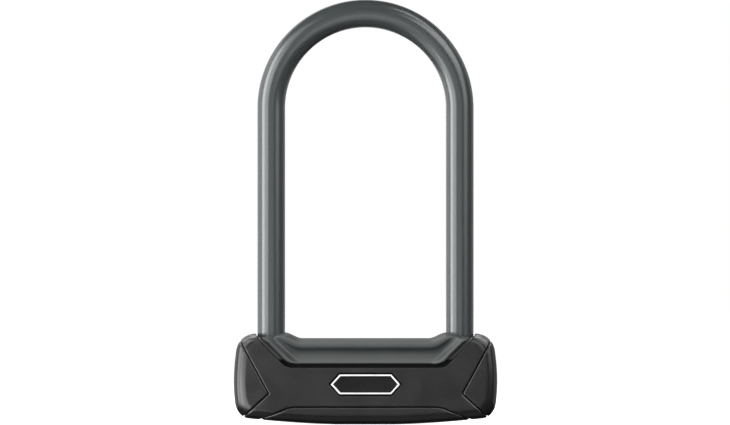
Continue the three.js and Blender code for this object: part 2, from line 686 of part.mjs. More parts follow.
// The plug: a cup whose floor is the key's mouth, stepped inside to carry the guard and the discs
function cylinderPlug() {
  const boreHalf = flapPinHalf + closeGap;
  const pinBore = roundY(flapPin.diameter / 2 + closeGap, flapHingeX, flapHingeZ, -boreHalf, boreHalf);
  const halfNotch = cam.dogWidth / 2 + fitGap;
  const notchZ = camBottom - cam.dogHeight - fitGap;
  return roundZ(plugRadius, 0, 0, housing.faceZ, housingTop)
    .subtract(roundZ(plugLowerBore, 0, 0, plugFloor, housingTop + overrun))
    .subtract(roundZ(plugBore, 0, 0, guardSeatZ, housingTop + overrun))
    .subtract(keySlot())
    .subtract(box(-halfNotch, halfNotch, -farY, farY, notchZ, housingTop + overrun))
    .subtract(roundZ(sidebarSlotRadius, -sidebarOrbit, 0, firstDiscZ - fitGap, bossBottom, smallSides))
    .subtract(pinBore);
}

function drillGuard() {
  return roundZ(discRadius, 0, 0, guardBottom, guardBottom + guardThickness).subtract(keySlot());
}

// A disc with its true gate at the sidebar and a shallow false gate elsewhere
function lockDisc(number) {
  const lowZ = firstDiscZ + number * discPitch;
  const highZ = lowZ + disc.thickness;
  const turn = THREE.MathUtils.degToRad(falseGate.spreadDegrees * (number / (disc.count - 1) - 0.5));
  const falseOrbit = sidebarOrbit + falseGate.rise;
  const gate = (x, y) => roundZ(sidebarSlotRadius, x, y, lowZ - overrun, highZ + overrun, smallSides);
  return roundZ(discRadius, 0, 0, lowZ, highZ)
    .subtract(keySlot())
    .subtract(gate(-sidebarOrbit, 0))
    .subtract(gate(falseOrbit * Math.cos(turn), falseOrbit * Math.sin(turn)));
}

function sidebar() {
  return roundZ(sidebarDiameter / 2, -sidebarOrbit, 0, firstDiscZ, bossBottom - fitGap, smallSides);
}

// The cam: a disc with a boss and two dogs in the plug's end below, and two pins for the bolts above
function driveCam() {
  const halfDog = cam.dogWidth / 2;
  const dogReach = plugRadius - closeGap;
  const pinTop = keeperBottom - fitGap;
  return union([
    roundZ(camRadius, 0, 0, camBottom, camTop),
    roundZ(discRadius, 0, 0, bossBottom, camTop),
    box(-halfDog, halfDog, -dogReach, dogReach, camBottom - cam.dogHeight, camTop),
    roundZ(cam.pinDiameter / 2, -pinRestOffset, pinRestOffset, camBottom, pinTop, smallSides),
    roundZ(cam.pinDiameter / 2, pinRestOffset, -pinRestOffset, camBottom, pinTop, smallSides),
  ]);
}

function keywayFlap() {
  const plateHalf = keyway.width / 2 + flap.overlap;
  const lowZ = plugFloor + fitGap;
  const highZ = lowZ + flap.thickness;
  const hole = roundY(flapPin.diameter / 2 + closeGap, flapHingeX, flapHingeZ, -farY, farY);
  return union([
    box(-plateHalf, plateHalf, -flapHalfLength, flapHalfLength, lowZ, highZ),
    box(0, flapHingeX, -flap.knuckleHalf, flap.knuckleHalf, lowZ, highZ),
    roundY(flap.knuckleRadius, flapHingeX, flapHingeZ, -flap.knuckleHalf, flap.knuckleHalf),
  ]).subtract(hole);
}

function flapHingePin() {
  return roundY(flapPin.diameter / 2, flapHingeX, flapHingeZ, -flapPinHalf, flapPinHalf);
}

// The flap's spring: a coil round the pin, one leg over the flap and one down on the plug's floor
class SpringCurve extends THREE.Curve {
  getPoint(share) {
    const coilRadius = (flapPin.diameter + flapSpring.wire) / 2 + closeGap;
    const coilLength = Math.PI * 2 * coilRadius * flapSpring.turns;
    const footLength = flapHingeZ - plugFloor - fitGap - flapSpring.wire / 2;
    const travelled = share * (flapSpring.legReach + coilLength + footLength);
    const along = THREE.MathUtils.clamp(travelled - flapSpring.legReach, 0, coilLength);
    const angle = Math.PI / 2 - along / coilRadius;
    const ahead = Math.max(flapSpring.legReach - travelled, 0);
    const below = Math.max(travelled - flapSpring.legReach - coilLength, 0);
    const startY = flap.knuckleHalf + fitGap + flapSpring.wire / 2;
    return new THREE.Vector3(
      flapHingeX + coilRadius * Math.cos(angle) - ahead,
      startY + flapSpring.pitch * flapSpring.turns * along / coilLength,
      flapHingeZ + coilRadius * Math.sin(angle) - below,
    );
  }
}

function springWire() {
  const section = new THREE.Shape();
  for (let i = 0; i < flapSpring.sides; i++) {
    const angle = Math.PI * 2 * i / flapSpring.sides;
    const point = [flapSpring.wire / 2 * Math.cos(angle), flapSpring.wire / 2 * Math.sin(angle)];
    if (i > 0) section.lineTo(...point);
    else section.moveTo(...point);
  }
  const steps = Math.round(flapSpring.stepsPerTurn * (flapSpring.turns + 1));
  const settings = { steps, extrudePath: new SpringCurve(), bevelEnabled: false };
  return solid(new THREE.ExtrudeGeometry(section, settings));
}

function frontCover() {
  const recess = frontPrism(grown(badgeOutline(), closeGap), -farY, badgeBack + fitGap);
  return cover(-1).subtract(recess);
}

function legSealRing(side) {
  const inner = coatingRadius + legSeal.gap;
  const lowZ = caseTop + fitGap;
  return ringZ(inner + legSeal.thickness, inner, side * legX, lowZ, lowZ + legSeal.height);
}

function faceSealRing() {
  const inner = housingRadius + fitGap;
  return ringZ(inner + faceSeal.thickness, inner, 0, faceSeal.lowZ, faceSeal.lowZ + faceSeal.height);
}

// The model: one group for each piece that moves as one
const shackle = new THREE.Group().add(
  mesh('shackle_bar', shackleBar(), materials.steelBar),
  mesh('shackle_coating', shackleCoating(), materials.coating),
);

const lockBody = new THREE.Group().add(
  mesh('steel_case', steelCase(), materials.caseSteel),
  mesh('bolt_keeper', boltKeeper(), materials.pinSteel),
  mesh('cylinder_housing', cylinderHousing(), materials.brass),
  mesh('cylinder_cross_pin', cylinderCrossPin(), materials.pinSteel),
  mesh('front_cover', frontCover(), materials.coverBlack),
  mesh('rear_cover', cover(1), materials.coverBlack),
  mesh('saddle', saddle(), materials.saddleGrey),
  mesh('bottom_trim', bottomTrim(), materials.coverBlack),
  mesh('front_plate', frontPrism(badgeOutline(), badgeFront, badgeBack), materials.plate),
  mesh('keyhole_seal', faceSealRing(), materials.rubber),
);
for (const [side, word] of [[-1, 'left'], [1, 'right']]) {
  lockBody.add(
    mesh(`end_cap_${word}`, endCap(side), materials.coverBlack),
    mesh(`end_plug_${word}`, endPlug(side), materials.caseSteel),
    mesh(`roll_pin_${word}`, rollPin(side), materials.pinSteel),
    mesh(`guide_block_${word}`, guideBlock(side), materials.zinc),
    mesh(`leg_seal_${word}`, legSealRing(side), materials.rubber),
  );
}

const plugGroup = new THREE.Group().add(
  mesh('cylinder_plug', cylinderPlug(), materials.brass),
  mesh('drill_guard', drillGuard(), materials.pinSteel),
  mesh('sidebar', sidebar(), materials.pinSteel),
  mesh('drive_cam', driveCam(), materials.pinSteel),
  mesh('flap_pin', flapHingePin(), materials.pinSteel),
  mesh('flap_spring', springWire(), materials.pinSteel),
);
for (let number = 0; number < disc.count; number++) {
  plugGroup.add(mesh(`lock_disc_${number + 1}`, lockDisc(number), materials.brass));
}

const flapGroup = new THREE.Group().add(mesh('keyway_flap', keywayFlap(), materials.pinSteel));
const boltLeft = new THREE.Group().add(mesh('bolt_left', deadbolt(-1), materials.steelBar));
const boltRight = new THREE.Group().add(mesh('bolt_right', deadbolt(1), materials.steelBar));

export default new THREE.Group().add(shackle, lockBody, plugGroup, flapGroup, boltLeft, boltRight);
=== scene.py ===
"""A compact U lock: a coated steel shackle in a lock body of black moulded covers round a grey saddle."""

import json
import math

import bpy
import numpy as np
from mathutils import Matrix, Vector
from mathutils.geometry import delaunay_2d_cdt


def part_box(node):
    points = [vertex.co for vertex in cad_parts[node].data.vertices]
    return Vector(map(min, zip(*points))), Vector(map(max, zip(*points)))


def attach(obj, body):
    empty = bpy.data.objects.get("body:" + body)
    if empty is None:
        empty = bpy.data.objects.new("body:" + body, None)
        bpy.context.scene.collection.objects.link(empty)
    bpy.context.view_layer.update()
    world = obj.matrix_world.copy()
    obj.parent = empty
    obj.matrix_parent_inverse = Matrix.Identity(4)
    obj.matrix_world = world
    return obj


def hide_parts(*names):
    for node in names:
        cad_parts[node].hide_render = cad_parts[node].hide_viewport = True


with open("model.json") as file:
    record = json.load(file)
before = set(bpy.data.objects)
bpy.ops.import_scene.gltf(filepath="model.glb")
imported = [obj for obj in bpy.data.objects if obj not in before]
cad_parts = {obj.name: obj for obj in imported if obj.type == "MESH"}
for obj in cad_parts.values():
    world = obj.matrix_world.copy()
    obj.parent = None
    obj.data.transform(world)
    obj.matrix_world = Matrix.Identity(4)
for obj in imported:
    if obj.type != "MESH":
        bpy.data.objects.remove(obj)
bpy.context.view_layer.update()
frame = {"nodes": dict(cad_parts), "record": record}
nodes = frame["nodes"]

# Sizes are in millimetres, and a mesh turns into metres when it is made
MM = 0.001


def node_box(name):
    low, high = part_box(name)
    return np.array(low) / MM, np.array(high) / MM


case_low, case_high = node_box("steel_case")
cover_low, cover_high = node_box("front_cover")
seal_low, seal_high = node_box("leg_seal_right")
coat_low, coat_high = node_box("shackle_coating")
bar_low, bar_high = node_box("shackle_bar")
plate_low, plate_high = node_box("front_plate")
bolt_low, bolt_high = node_box("bolt_right")
housing_low, housing_high = node_box("cylinder_housing")
plug_low, plug_high = node_box("cylinder_plug")
mouth_low, mouth_high = node_box("keyhole_seal")
guard_low = node_box("drill_guard")[0]
sidebar_low, sidebar_high = node_box("sidebar")
flap_pin_low, flap_pin_high = node_box("flap_pin")
cross_low, cross_high = node_box("cylinder_cross_pin")

# Places that the frame gives
LEG_X = (seal_low[0] + seal_high[0]) / 2
COAT_RADIUS = coat_high[0] - LEG_X
BAR_RADIUS = bar_high[0] - LEG_X
BEND_Z = coat_high[2] - coat_high[0]
BODY_TOP = cover_high[2]
HALF_DEPTH = -cover_low[1]

# The covers' top below the body's, and their sides outside the steel case
COVER_LOWER = 0.3
CASE_TO_SIDE = 6.7
COVER_TOP = BODY_TOP - COVER_LOWER
HALF_WIDTH = case_high[0] + CASE_TO_SIDE

# Clearances, walls, edges, and the spacing of points along them and between them
HALF_SEAM = 0.12
FIT_GAP = 0.3
CLOSE_GAP = 0.15
HOLE_GAP = 0.45
SKIN = 2.6
EDGE = 0.75
SADDLE_EDGE = 0.45
BEVEL_WIDTH = 1.15
BEVEL_DROP = 0.3
SEAM_SPACING = 1.3
SADDLE_SPACING = 1.1
PLATE_SPACING = 1.2
GRID_SPACING = 4.1
GRID_X = (-62.3, 63)
GRID_Z = (7.2, 42)

# The lock body's outline and its rounding to the front and rear
BASE_ARC_RADIUS = 548.0
BASE_FLAT_HALF = 14.8
SHOULDER = dict(start_in=12.0, end_in=1.0, end_drop=9.7, pull=5.8, pull_down=6.8, lean=0.6)
FLANK = dict(bulge=0.88, bow_drop=23.8)
HEEL = dict(start_in=7.5, end_in=0.6, end_z=11.3, pull=3.4, pull_down=4.6, lean=0.6)
FACE_EDGE = dict(inset_x=6.3, inset_top=3.6, inset_base=5.5, depth=5.2)
WALL_HALF = HALF_DEPTH - FACE_EDGE["depth"]

# The seams seen from the front
CAP_TIP = (HALF_WIDTH - 17.8, 15.8)
CAP_TOP = (HALF_WIDTH - 2.9, BODY_TOP - 3.5)
CAP_BASE = (HALF_WIDTH - 6.2, 5.2)
TRIM_BASE = (HALF_WIDTH - 15.5, 3.1)
TRIM_CORNER = (HALF_WIDTH - 27.1, 8.2)
TRIM_FLAT = (HALF_WIDTH - 31.2, 8.9)
SADDLE_TOP = (LEG_X + 5.8, BODY_TOP + 0.2)
SADDLE_KNEE = (LEG_X + 4.5, BODY_TOP - 2.7)
SADDLE_BASE = (LEG_X - 7.1, BODY_TOP - 14.0)
SADDLE_CORNER = (LEG_X - 11.8, BODY_TOP - 15.5)
REBATE_STEP = ((1.75, 1.5), (1.85, 1.45), (2.15, 0.6), (2.25, 0.25), (2.35, 0.07), (2.5, 0.0))

# The saddle's section: inwards from the front face and down from the top
LIP = (1.8, 15.8)
COVE = (4.9, 10.8)
COVE_LOW = (3.9, 13.3)
CREASE = (3.9, 8.4)
BEAD = (1.8, 7.0)
BEAD_TOP = (4.4, 2.7)
TOP_EDGE = (8.4, 2.7)
FLARE_START = LEG_X - 15.8
FLARE_PEAK = LEG_X - 7.0
FLARE_END = LEG_X + 4.1
FLARE_RISE = 2.9
FLARE_LEFT = 0.7
CREASE_RISE = 6.5
CREASE_END = LEG_X - 4.2
CREASE_BELOW = 1.3
CREASE_EASE = 0.8
BEAD_DRAWN = 2.4
BEAD_TOP_DRAWN = 1.6
BEAD_LENGTH = 9.0
COVE_LENGTH = 9.0
SADDLE_WALL = 1.4
DIAGONAL_EDGE = dict(width=1.9, drop=0.5, start=2.5)
RIM = dict(below=0.6, flat=1.0, width=3.8)

# The plate on the front
PLATE_HALF = (plate_high[0] - plate_low[0]) / 2
PLATE_HALF_HEIGHT = (plate_high[2] - plate_low[2]) / 2
PLATE_Z = (plate_high[2] + plate_low[2]) / 2
PLATE_POINT = 4.6
PLATE_STEP = ((-0.3, 0.9), (0.7, 0.86), (0.8, 0.3), (0.9, 0.08), (1.05, 0.0))


# Plane curves. Cubic and quadratic give them without their last point.

def cubic_at(t, corners):
    weights = ((1 - t) ** 3, 3 * t * (1 - t) ** 2, 3 * t * t * (1 - t), t ** 3)
    return sum(weight * corner for weight, corner in zip(weights, corners))


def cubic(p0, p1, p2, p3, count):
    t = np.linspace(0, 1, count, endpoint=False)[:, None]
    return cubic_at(t, map(np.array, (p0, p1, p2, p3)))


def quadratic(p0, p1, p2, count):
    t = np.linspace(0, 1, count, endpoint=False)[:, None]
    p0, p1, p2 = map(np.array, (p0, p1, p2))
    return (1 - t) ** 2 * p0 + 2 * t * (1 - t) * p1 + t * t * p2


def body_outline(fine):
    """The lock body's outline, anticlockwise from the middle of its base, with fine points a stretch."""
    def base_z(x):
        return (x * x - BASE_FLAT_HALF ** 2) / (2 * BASE_ARC_RADIUS)

    heel_x = HALF_WIDTH - HEEL["start_in"]
    heel_end = (HALF_WIDTH - HEEL["end_in"], HEEL["end_z"])
    shoulder_x = HALF_WIDTH - SHOULDER["start_in"]
    shoulder_end = (HALF_WIDTH - SHOULDER["end_in"], COVER_TOP - SHOULDER["end_drop"])
    flat = np.linspace((0, 0), (BASE_FLAT_HALF, 0), fine, endpoint=False)
    belly_x = np.linspace(BASE_FLAT_HALF, heel_x, 2 * fine, endpoint=False)
    belly = np.stack([belly_x, base_z(belly_x)], 1)
    heel = cubic(
        (heel_x, base_z(heel_x)), (heel_x + HEEL["pull"], base_z(heel_x + HEEL["pull"])),
        (heel_end[0] - HEEL["lean"], heel_end[1] - HEEL["pull_down"]), heel_end, fine,
    )
    flank_pull = (HALF_WIDTH + FLANK["bulge"], BODY_TOP - FLANK["bow_drop"])
    flank = quadratic(heel_end, flank_pull, shoulder_end, fine)
    shoulder = cubic(
        shoulder_end, (shoulder_end[0] - SHOULDER["lean"], shoulder_end[1] + SHOULDER["pull_down"]),
        (shoulder_x + SHOULDER["pull"], COVER_TOP), (shoulder_x, COVER_TOP), fine,
    )
    top = np.linspace((shoulder_x, COVER_TOP), (0, COVER_TOP), 2 * fine, endpoint=False)
    right = np.concatenate([flat, belly, heel, flank, shoulder, top])
    return np.concatenate([right, [(0, COVER_TOP)], right[:0:-1] * (-1, 1)])


# The rounded block that the covers follow. A point's share is 0 on the flat face and 1 on the outline.

CENTRE = np.array((0.0, COVER_TOP / 2))
FACE_SCALE = np.array((
    1 - FACE_EDGE["inset_x"] / HALF_WIDTH,
    1 - (FACE_EDGE["inset_base"] + FACE_EDGE["inset_top"]) / COVER_TOP,
))
FACE_SHIFT = np.array((0.0, FACE_EDGE["inset_base"]))
dense = body_outline(300)
dense = np.concatenate([dense, dense[:1]]) - CENTRE
dense_angle = np.unwrap(np.arctan2(dense[:, 1], dense[:, 0]))
dense_radius = np.hypot(dense[:, 0], dense[:, 1])


def is_inside(points):
    points = points - CENTRE
    turn = np.arctan2(points[:, 1], points[:, 0])
    turn = dense_angle[0] + np.mod(turn - dense_angle[0], 2 * math.pi)
    return np.hypot(points[:, 0], points[:, 1]) < np.interp(turn, dense_angle, dense_radius)


def edge_share(points, most=1.3, halvings=40):
    low = np.zeros(len(points))
    high = np.full(len(points), most)
    for _ in range(halvings):
        mid = (low + high) / 2
        scale = FACE_SCALE * (1 - mid)[:, None] + mid[:, None]
        inside = is_inside((points - FACE_SHIFT * (1 - mid)[:, None]) / scale)
        high = np.where(inside, mid, high)
        low = np.where(inside, low, mid)
    return (low + high) / 2


def drawn_in(points, share):
    """The outline's points on the ring of a share."""
    return points * (FACE_SCALE * (1 - share) + share) + FACE_SHIFT * (1 - share)


def block_front(points):
    """Places on the front of the block at points of the front view, with their outward normals and shares."""
    step = 0.02
    share = edge_share(points)
    grad = np.stack([
        edge_share(points + (step, 0)) - edge_share(points - (step, 0)),
        edge_share(points + (0, step)) - edge_share(points - (0, step)),
    ], 1) / (2 * step)
    flat = share < 1e-3
    slope = np.maximum(np.hypot(grad[:, 0], grad[:, 1]), 1e-9)
    share = np.clip(share, 0, 1)
    fall = np.sqrt(1 - share ** 2)
    depth = FACE_EDGE["depth"]
    place = np.stack([points[:, 0], depth * (1 - fall) - HALF_DEPTH, points[:, 1]], 1)
    side = grad / slope[:, None]
    normal = np.stack([side[:, 0] * depth * share, -fall / slope, side[:, 1] * depth * share], 1)
    normal[flat] = (0, -1, 0)
    normal /= np.linalg.norm(normal, axis=1)[:, None]
    return place, normal, share


# Seams: an open line round a convex region of the front view, with the region on its left

def past(near, far, distance):
    near, far = np.array(near), np.array(far)
    return tuple(far + (far - near) / np.linalg.norm(far - near) * distance)


def mirrored(points):
    return [(-x, z) for x, z in points][::-1]


CAP_RIGHT = [past(CAP_TIP, CAP_TOP, 12), CAP_TIP, past(CAP_TIP, CAP_BASE, 12)]
CAP_LEFT = mirrored(CAP_RIGHT)
arc_pull = (SADDLE_BASE[0] - SADDLE_BASE[1] + SADDLE_CORNER[1], SADDLE_CORNER[1])
saddle_half = [
    *map(tuple, quadratic(SADDLE_CORNER, arc_pull, SADDLE_BASE, 6)),
    SADDLE_BASE, SADDLE_KNEE, past(SADDLE_KNEE, SADDLE_TOP, 6),
]
SADDLE = mirrored(saddle_half) + saddle_half
trim_half = [past(TRIM_CORNER, TRIM_BASE, 14), TRIM_CORNER, TRIM_FLAT]
TRIM = trim_half + mirrored(trim_half)
plate_half = [
    (PLATE_HALF - PLATE_POINT, PLATE_Z - PLATE_HALF_HEIGHT), (PLATE_HALF, PLATE_Z),
    (PLATE_HALF - PLATE_POINT, PLATE_Z + PLATE_HALF_HEIGHT),
]
PLATE_RING = plate_half + mirrored(plate_half) + plate_half[:1]


def seam_distance(points, line):
    """How far points lie outside a seam's region, square at its corners. It is below 0 inside."""
    line = np.array(line)
    away = []
    for a, b in zip(line[:-1], line[1:]):
        along = (b - a) / np.linalg.norm(b - a)
        away.append((points - a) @ np.array((along[1], -along[0])))
    return np.max(away, axis=0)


def seam_row(line, growth):
    """The seam's line moved outwards by a distance, square at its corners."""
    line = np.array(line)
    along = np.diff(line, axis=0)
    along /= np.linalg.norm(along, axis=1)[:, None]
    out = np.stack([along[:, 1], -along[:, 0]], 1)
    closed = np.allclose(line[0], line[-1])
    before = np.concatenate([out[-1:] if closed else out[:1], out])
    after = np.concatenate([out, out[:1] if closed else out[-1:]])
    joint = before + after
    return line + joint * growth / np.sum(joint * before, 1)[:, None]


def resampled(points, spacing):
    points = np.asarray(points)
    rows = []
    for a, b in zip(points[:-1], points[1:]):
        count = max(1, round(np.linalg.norm(b - a) / spacing))
        rows.append(np.linspace(a, b, count, endpoint=False))
    return np.concatenate([*rows, points[-1:]])


# Meshes

def make_object(name, verts, faces, smooth_angle=35):
    mesh = bpy.data.meshes.new(name)
    mesh.from_pydata((np.asarray(verts) * MM).tolist(), [], [list(map(int, face)) for face in faces])
    mesh.update()
    mesh.shade_smooth()
    mesh.set_sharp_from_angle(angle=math.radians(smooth_angle))
    made = bpy.data.objects.new(name, mesh)
    bpy.context.scene.collection.objects.link(made)
    return made


def open_edges(faces):
    """The directed edges that only one face has."""
    seen = {(a, b) for face in faces for a, b in zip(face, (*face[1:], face[0]))}
    return [(a, b) for a, b in seen if (b, a) not in seen]


def closed_shell(name, place, normal, drop, wall, faces, smooth_angle=35):
    """A wall over a sheet. Its outer side lies lower by drop, and its inner side a wall below the sheet."""
    outer = place - normal * drop[:, None]
    inner = place - normal * wall
    count = len(place)
    rim = open_edges(faces)
    inside = [[i + count for i in face[::-1]] for face in faces]
    edge = [(b, a, a + count, b + count) for a, b in sorted(rim)]
    return make_object(name, np.concatenate([outer, inner]), [*faces, *inside, *edge], smooth_angle)


def round_drop(first, second=None, edge=EDGE):
    """How far a rounded edge lies below its face at a distance from one edge, or from two that meet."""
    used = np.maximum(edge - first, 0) ** 2
    if second is not None:
        used = used + np.maximum(edge - second, 0) ** 2
    return edge - np.sqrt(np.maximum(edge ** 2 - used, 0))


EDGE_ROWS = EDGE * (1 - np.cos(np.linspace(0, math.pi / 2, 5)))
SADDLE_ROWS = EDGE_ROWS * SADDLE_EDGE / EDGE
ROUNDING = np.sin(np.linspace(0, math.pi / 2, 11))
# A share above this is on the block's outline, which has short straight pieces
RIM_SHARE = 0.9925


def triangulated(rows, extra, keep):
    """Triangles over rows of plane points, which become edges, and loose extra points, where keep allows."""
    coords, edges = [], []
    for row in rows:
        start = len(coords)
        coords.extend(map(tuple, row))
        edges.extend((start + i, start + i + 1) for i in range(len(row) - 1))
    coords.extend(map(tuple, extra))
    found = delaunay_2d_cdt([Vector(c) for c in coords], edges, [], 0, 1e-4)
    points = np.array([tuple(v) for v in found[0]])
    triangles = np.array(found[2])
    a, b, c = (points[triangles[:, i]] for i in range(3))
    turn = (b - a)[:, 0] * (c - a)[:, 1] - (b - a)[:, 1] * (c - a)[:, 0]
    triangles = np.where(turn[:, None] > 0, triangles, triangles[:, ::-1])
    triangles = triangles[keep((a + b + c) / 3) & (abs(turn) > 1e-6)]
    used, index = np.unique(triangles, return_inverse=True)
    return points[used], index.reshape(-1, 3).tolist()


def step_drop(distance, profile):
    far, drop = zip(*profile)
    return np.interp(distance, far, drop)


def moulding(name, distance, seams, steps=(), whole=True, rounded=None, bevel=None):
    """A moulded cover as one closed wall, over the part of the front view where distance is above 0.
    A whole one runs round the block's edge to the rear; otherwise it ends at the middle.
    Edges are round where rounded, or else distance, is small, and bevel lowers them further."""
    ring = body_outline(16)
    ring = np.concatenate([ring, ring[:1]])
    rows = [drawn_in(ring, share) for share in ROUNDING]
    for line, sign in seams:
        for far in (*EDGE_ROWS, BEVEL_WIDTH):
            rows.append(resampled(seam_row(line, sign * (HALF_SEAM + far)), SEAM_SPACING))
    for line, profile in steps:
        rows += [resampled(seam_row(line, far), SEAM_SPACING) for far, _ in profile]
    grid = np.meshgrid(np.arange(*GRID_X, GRID_SPACING), np.arange(*GRID_Z, GRID_SPACING))
    extra = np.stack(grid, -1).reshape(-1, 2)
    points, triangles = triangulated(rows, extra, lambda p: (distance(p) > 0) & (edge_share(p) < 1))
    place, normal, share = block_front(points)
    gap = (rounded or distance)(points)
    lowered = sum(step_drop(seam_distance(points, line), profile) for line, profile in steps)
    if bevel:
        lowered = lowered + BEVEL_DROP * bevel(points)
    drop = round_drop(gap) + lowered
    rim = [(a, b) for a, b in sorted(open_edges(triangles)) if min(share[a], share[b]) > RIM_SHARE]
    rim_verts = sorted({i for edge in rim for i in edge})
    order = {v: i for i, v in enumerate(rim_verts)}
    side = normal[rim_verts] * (1, 0, 1)
    side /= np.linalg.norm(side, axis=1)[:, None]
    normal[rim_verts] = side
    if whole:
        levels = np.linspace(-WALL_HALF, WALL_HALF, 8)[1:-1]
    else:
        straight = np.linspace(-WALL_HALF, -HALF_SEAM - EDGE, 4)[1:-1]
        levels = np.concatenate([straight, -HALF_SEAM - EDGE_ROWS[::-1]])
    places, normals, drops = [place], [normal], [drop]
    ids = [np.array(rim_verts)]
    count = len(place)
    rim_gap = gap[rim_verts]
    stepped = drop[rim_verts] - round_drop(rim_gap)
    for level in levels:
        row = place[rim_verts]
        row[:, 1] = level
        places.append(row)
        normals.append(side)
        drops.append(stepped + round_drop(rim_gap, None if whole else -HALF_SEAM - level))
        ids.append(count + np.arange(len(rim_verts)))
        count += len(rim_verts)
    faces = [*triangles]
    if whole:
        places.append(place * (1, -1, 1))
        normals.append(normal * (1, -1, 1))
        drops.append(drop)
        ids.append(count + np.array(rim_verts))
        faces += [(c + count, b + count, a + count) for a, b, c in triangles]
    for above, below in zip(ids[:-1], ids[1:]):
        faces += [(above[order[b]], above[order[a]], below[order[a]], below[order[b]]) for a, b in rim]
    place, normal, drop = map(np.concatenate, (places, normals, drops))
    return closed_shell(name, place, normal, drop, SKIN, faces)


def turns(count):
    return np.linspace(0, 2 * math.pi, count, endpoint=False)


def band(low, high, count):
    """Faces between two rings of count vertices, whose first ones are low and high."""
    pairs = [(i, (i + 1) % count) for i in range(count)]
    return [[low + i, low + j, high + j, high + i] for i, j in pairs]


def lathe(name, profile, centre=(0, 0), sides=96, closed=True):
    """A solid turned round the Z axis from (radius, z) points. A radius of 0 closes it on the axis."""
    profile = np.array(profile, float)
    verts, rows = [], []
    for radius, z in profile:
        start = len(verts)
        if radius < 1e-9:
            verts.append((centre[0], centre[1], z))
            rows.append([start] * sides)
        else:
            verts += [
                (centre[0] + radius * math.cos(a), centre[1] + radius * math.sin(a), z) for a in turns(sides)
            ]
            rows.append(list(range(start, start + sides)))
    pairs = list(zip(rows[:-1], rows[1:])) + ([(rows[-1], rows[0])] if closed else [])
    faces = []
    for low, high in pairs:
        for i in range(sides):
            j = (i + 1) % sides
            face = [low[i], low[j], high[j], high[i]]
            face = [v for k, v in enumerate(face) if v != face[k - 1]]
            if len(face) > 2:
                faces.append(face)
    return make_object(name, verts, faces)


def prism(name, points, low_y, high_y):
    """A cutter over a plane outline of the front view, given anticlockwise."""
    count = len(points)
    verts = [(x, y, z) for y in (low_y, high_y) for x, z in points]
    faces = [list(range(count)), list(range(2 * count - 1, count - 1, -1))]
    faces += [[i, i + count, (i + 1) % count + count, (i + 1) % count] for i in range(count)]
    return make_object(name, verts, faces)


def box(name, low, high):
    (x0, y0, z0), (x1, y1, z1) = low, high
    return prism(name, [(x0, z0), (x1, z0), (x1, z1), (x0, z1)], y0, y1)


def cut(obj, *cutters):
    """Takes closed cutters out of obj for good."""
    for cutter in cutters:
        step = obj.modifiers.new("cut", "BOOLEAN")
        step.operation = "DIFFERENCE"
        step.solver = "EXACT"
        step.object = cutter
    evaluated = obj.evaluated_get(bpy.context.evaluated_depsgraph_get())
    done = bpy.data.meshes.new_from_object(evaluated)
    obj.modifiers.clear()
    old, obj.data = obj.data, done
    bpy.data.meshes.remove(old)
    done.name = obj.name
    for cutter in cutters:
        bpy.data.objects.remove(cutter)
    return obj


def follow_block(obj):
    """Shades the parts of a cover that lie on the rounded block by the block's own normals."""
    sharp, touching, facing = 32, 0.01, 0.93
    mesh = obj.data
    mesh.shade_smooth()
    mesh.set_sharp_from_angle(angle=math.radians(sharp))
    count = len(mesh.vertices)
    co = np.empty(count * 3)
    mesh.vertices.foreach_get("co", co)
    co = co.reshape(-1, 3) / MM
    place, normal, share = block_front(co[:, (0, 2)])
    near = np.abs(np.abs(co[:, 1]) + place[:, 1]) < touching
    wall = (np.abs(co[:, 1]) < WALL_HALF + touching) & (share > RIM_SHARE)
    normal[:, 1] = np.where(wall, 0, np.where(co[:, 1] > 0, -normal[:, 1], normal[:, 1]))
    normal /= np.linalg.norm(normal, axis=1)[:, None]
    on_block = near | wall
    loops = np.empty(len(mesh.loops), int)
    mesh.loops.foreach_get("vertex_index", loops)
    auto = np.empty(len(loops) * 3, np.float32)
    mesh.corner_normals.foreach_get("vector", auto)
    auto = auto.reshape(-1, 3).astype(float)
    face_normal = np.empty(len(mesh.polygons) * 3, np.float32)
    mesh.polygon_normals.foreach_get("vector", face_normal)
    totals = np.empty(len(mesh.polygons), int)
    mesh.polygons.foreach_get("loop_total", totals)
    face_normal = np.repeat(face_normal.reshape(-1, 3), totals, axis=0)
    wanted = normal[loops]
    used = on_block[loops] & (np.sum(wanted * face_normal, 1) > facing)
    mesh.normals_split_custom_set(np.where(used[:, None], wanted, auto).tolist())


# The camera, at the photograph's place: straight in front, level with the middle of the picture

VIEW_DISTANCE = 6000.0
VIEW_WIDTH = 374.1
VIEW_CENTRE = (-0.26, 108.65)
camera_data = bpy.data.cameras.new("camera")
camera_data.sensor_width = 36
camera_data.lens = camera_data.sensor_width * VIEW_DISTANCE / VIEW_WIDTH
camera_data.clip_start = 0.05
camera_data.clip_end = 30
camera = bpy.data.objects.new("camera", camera_data)
camera.location = (VIEW_CENTRE[0] * MM, (-WALL_HALF - VIEW_DISTANCE) * MM, VIEW_CENTRE[1] * MM)
camera.rotation_euler = (math.pi / 2, 0, 0)
bpy.context.scene.collection.objects.link(camera)
bpy.context.scene.camera = camera


# Covers, caps and trim

SEAMS = (CAP_LEFT, CAP_RIGHT, SADDLE, TRIM)


def cover_distance(points, lines=SEAMS):
    return np.min([seam_distance(points, line) for line in lines], axis=0) - HALF_SEAM


def cover_rounded(points):
    return cover_distance(points, (CAP_LEFT, CAP_RIGHT, TRIM))


def within(line):
    """How far points lie inside the edge of a piece that a seam bounds."""
    return lambda points: -seam_distance(points, line) - HALF_SEAM


def eased(gap, width=BEVEL_WIDTH):
    """1 at an edge, falling to 0 at a width from it."""
    return np.clip(1 - gap / width, 0, 1) ** 2


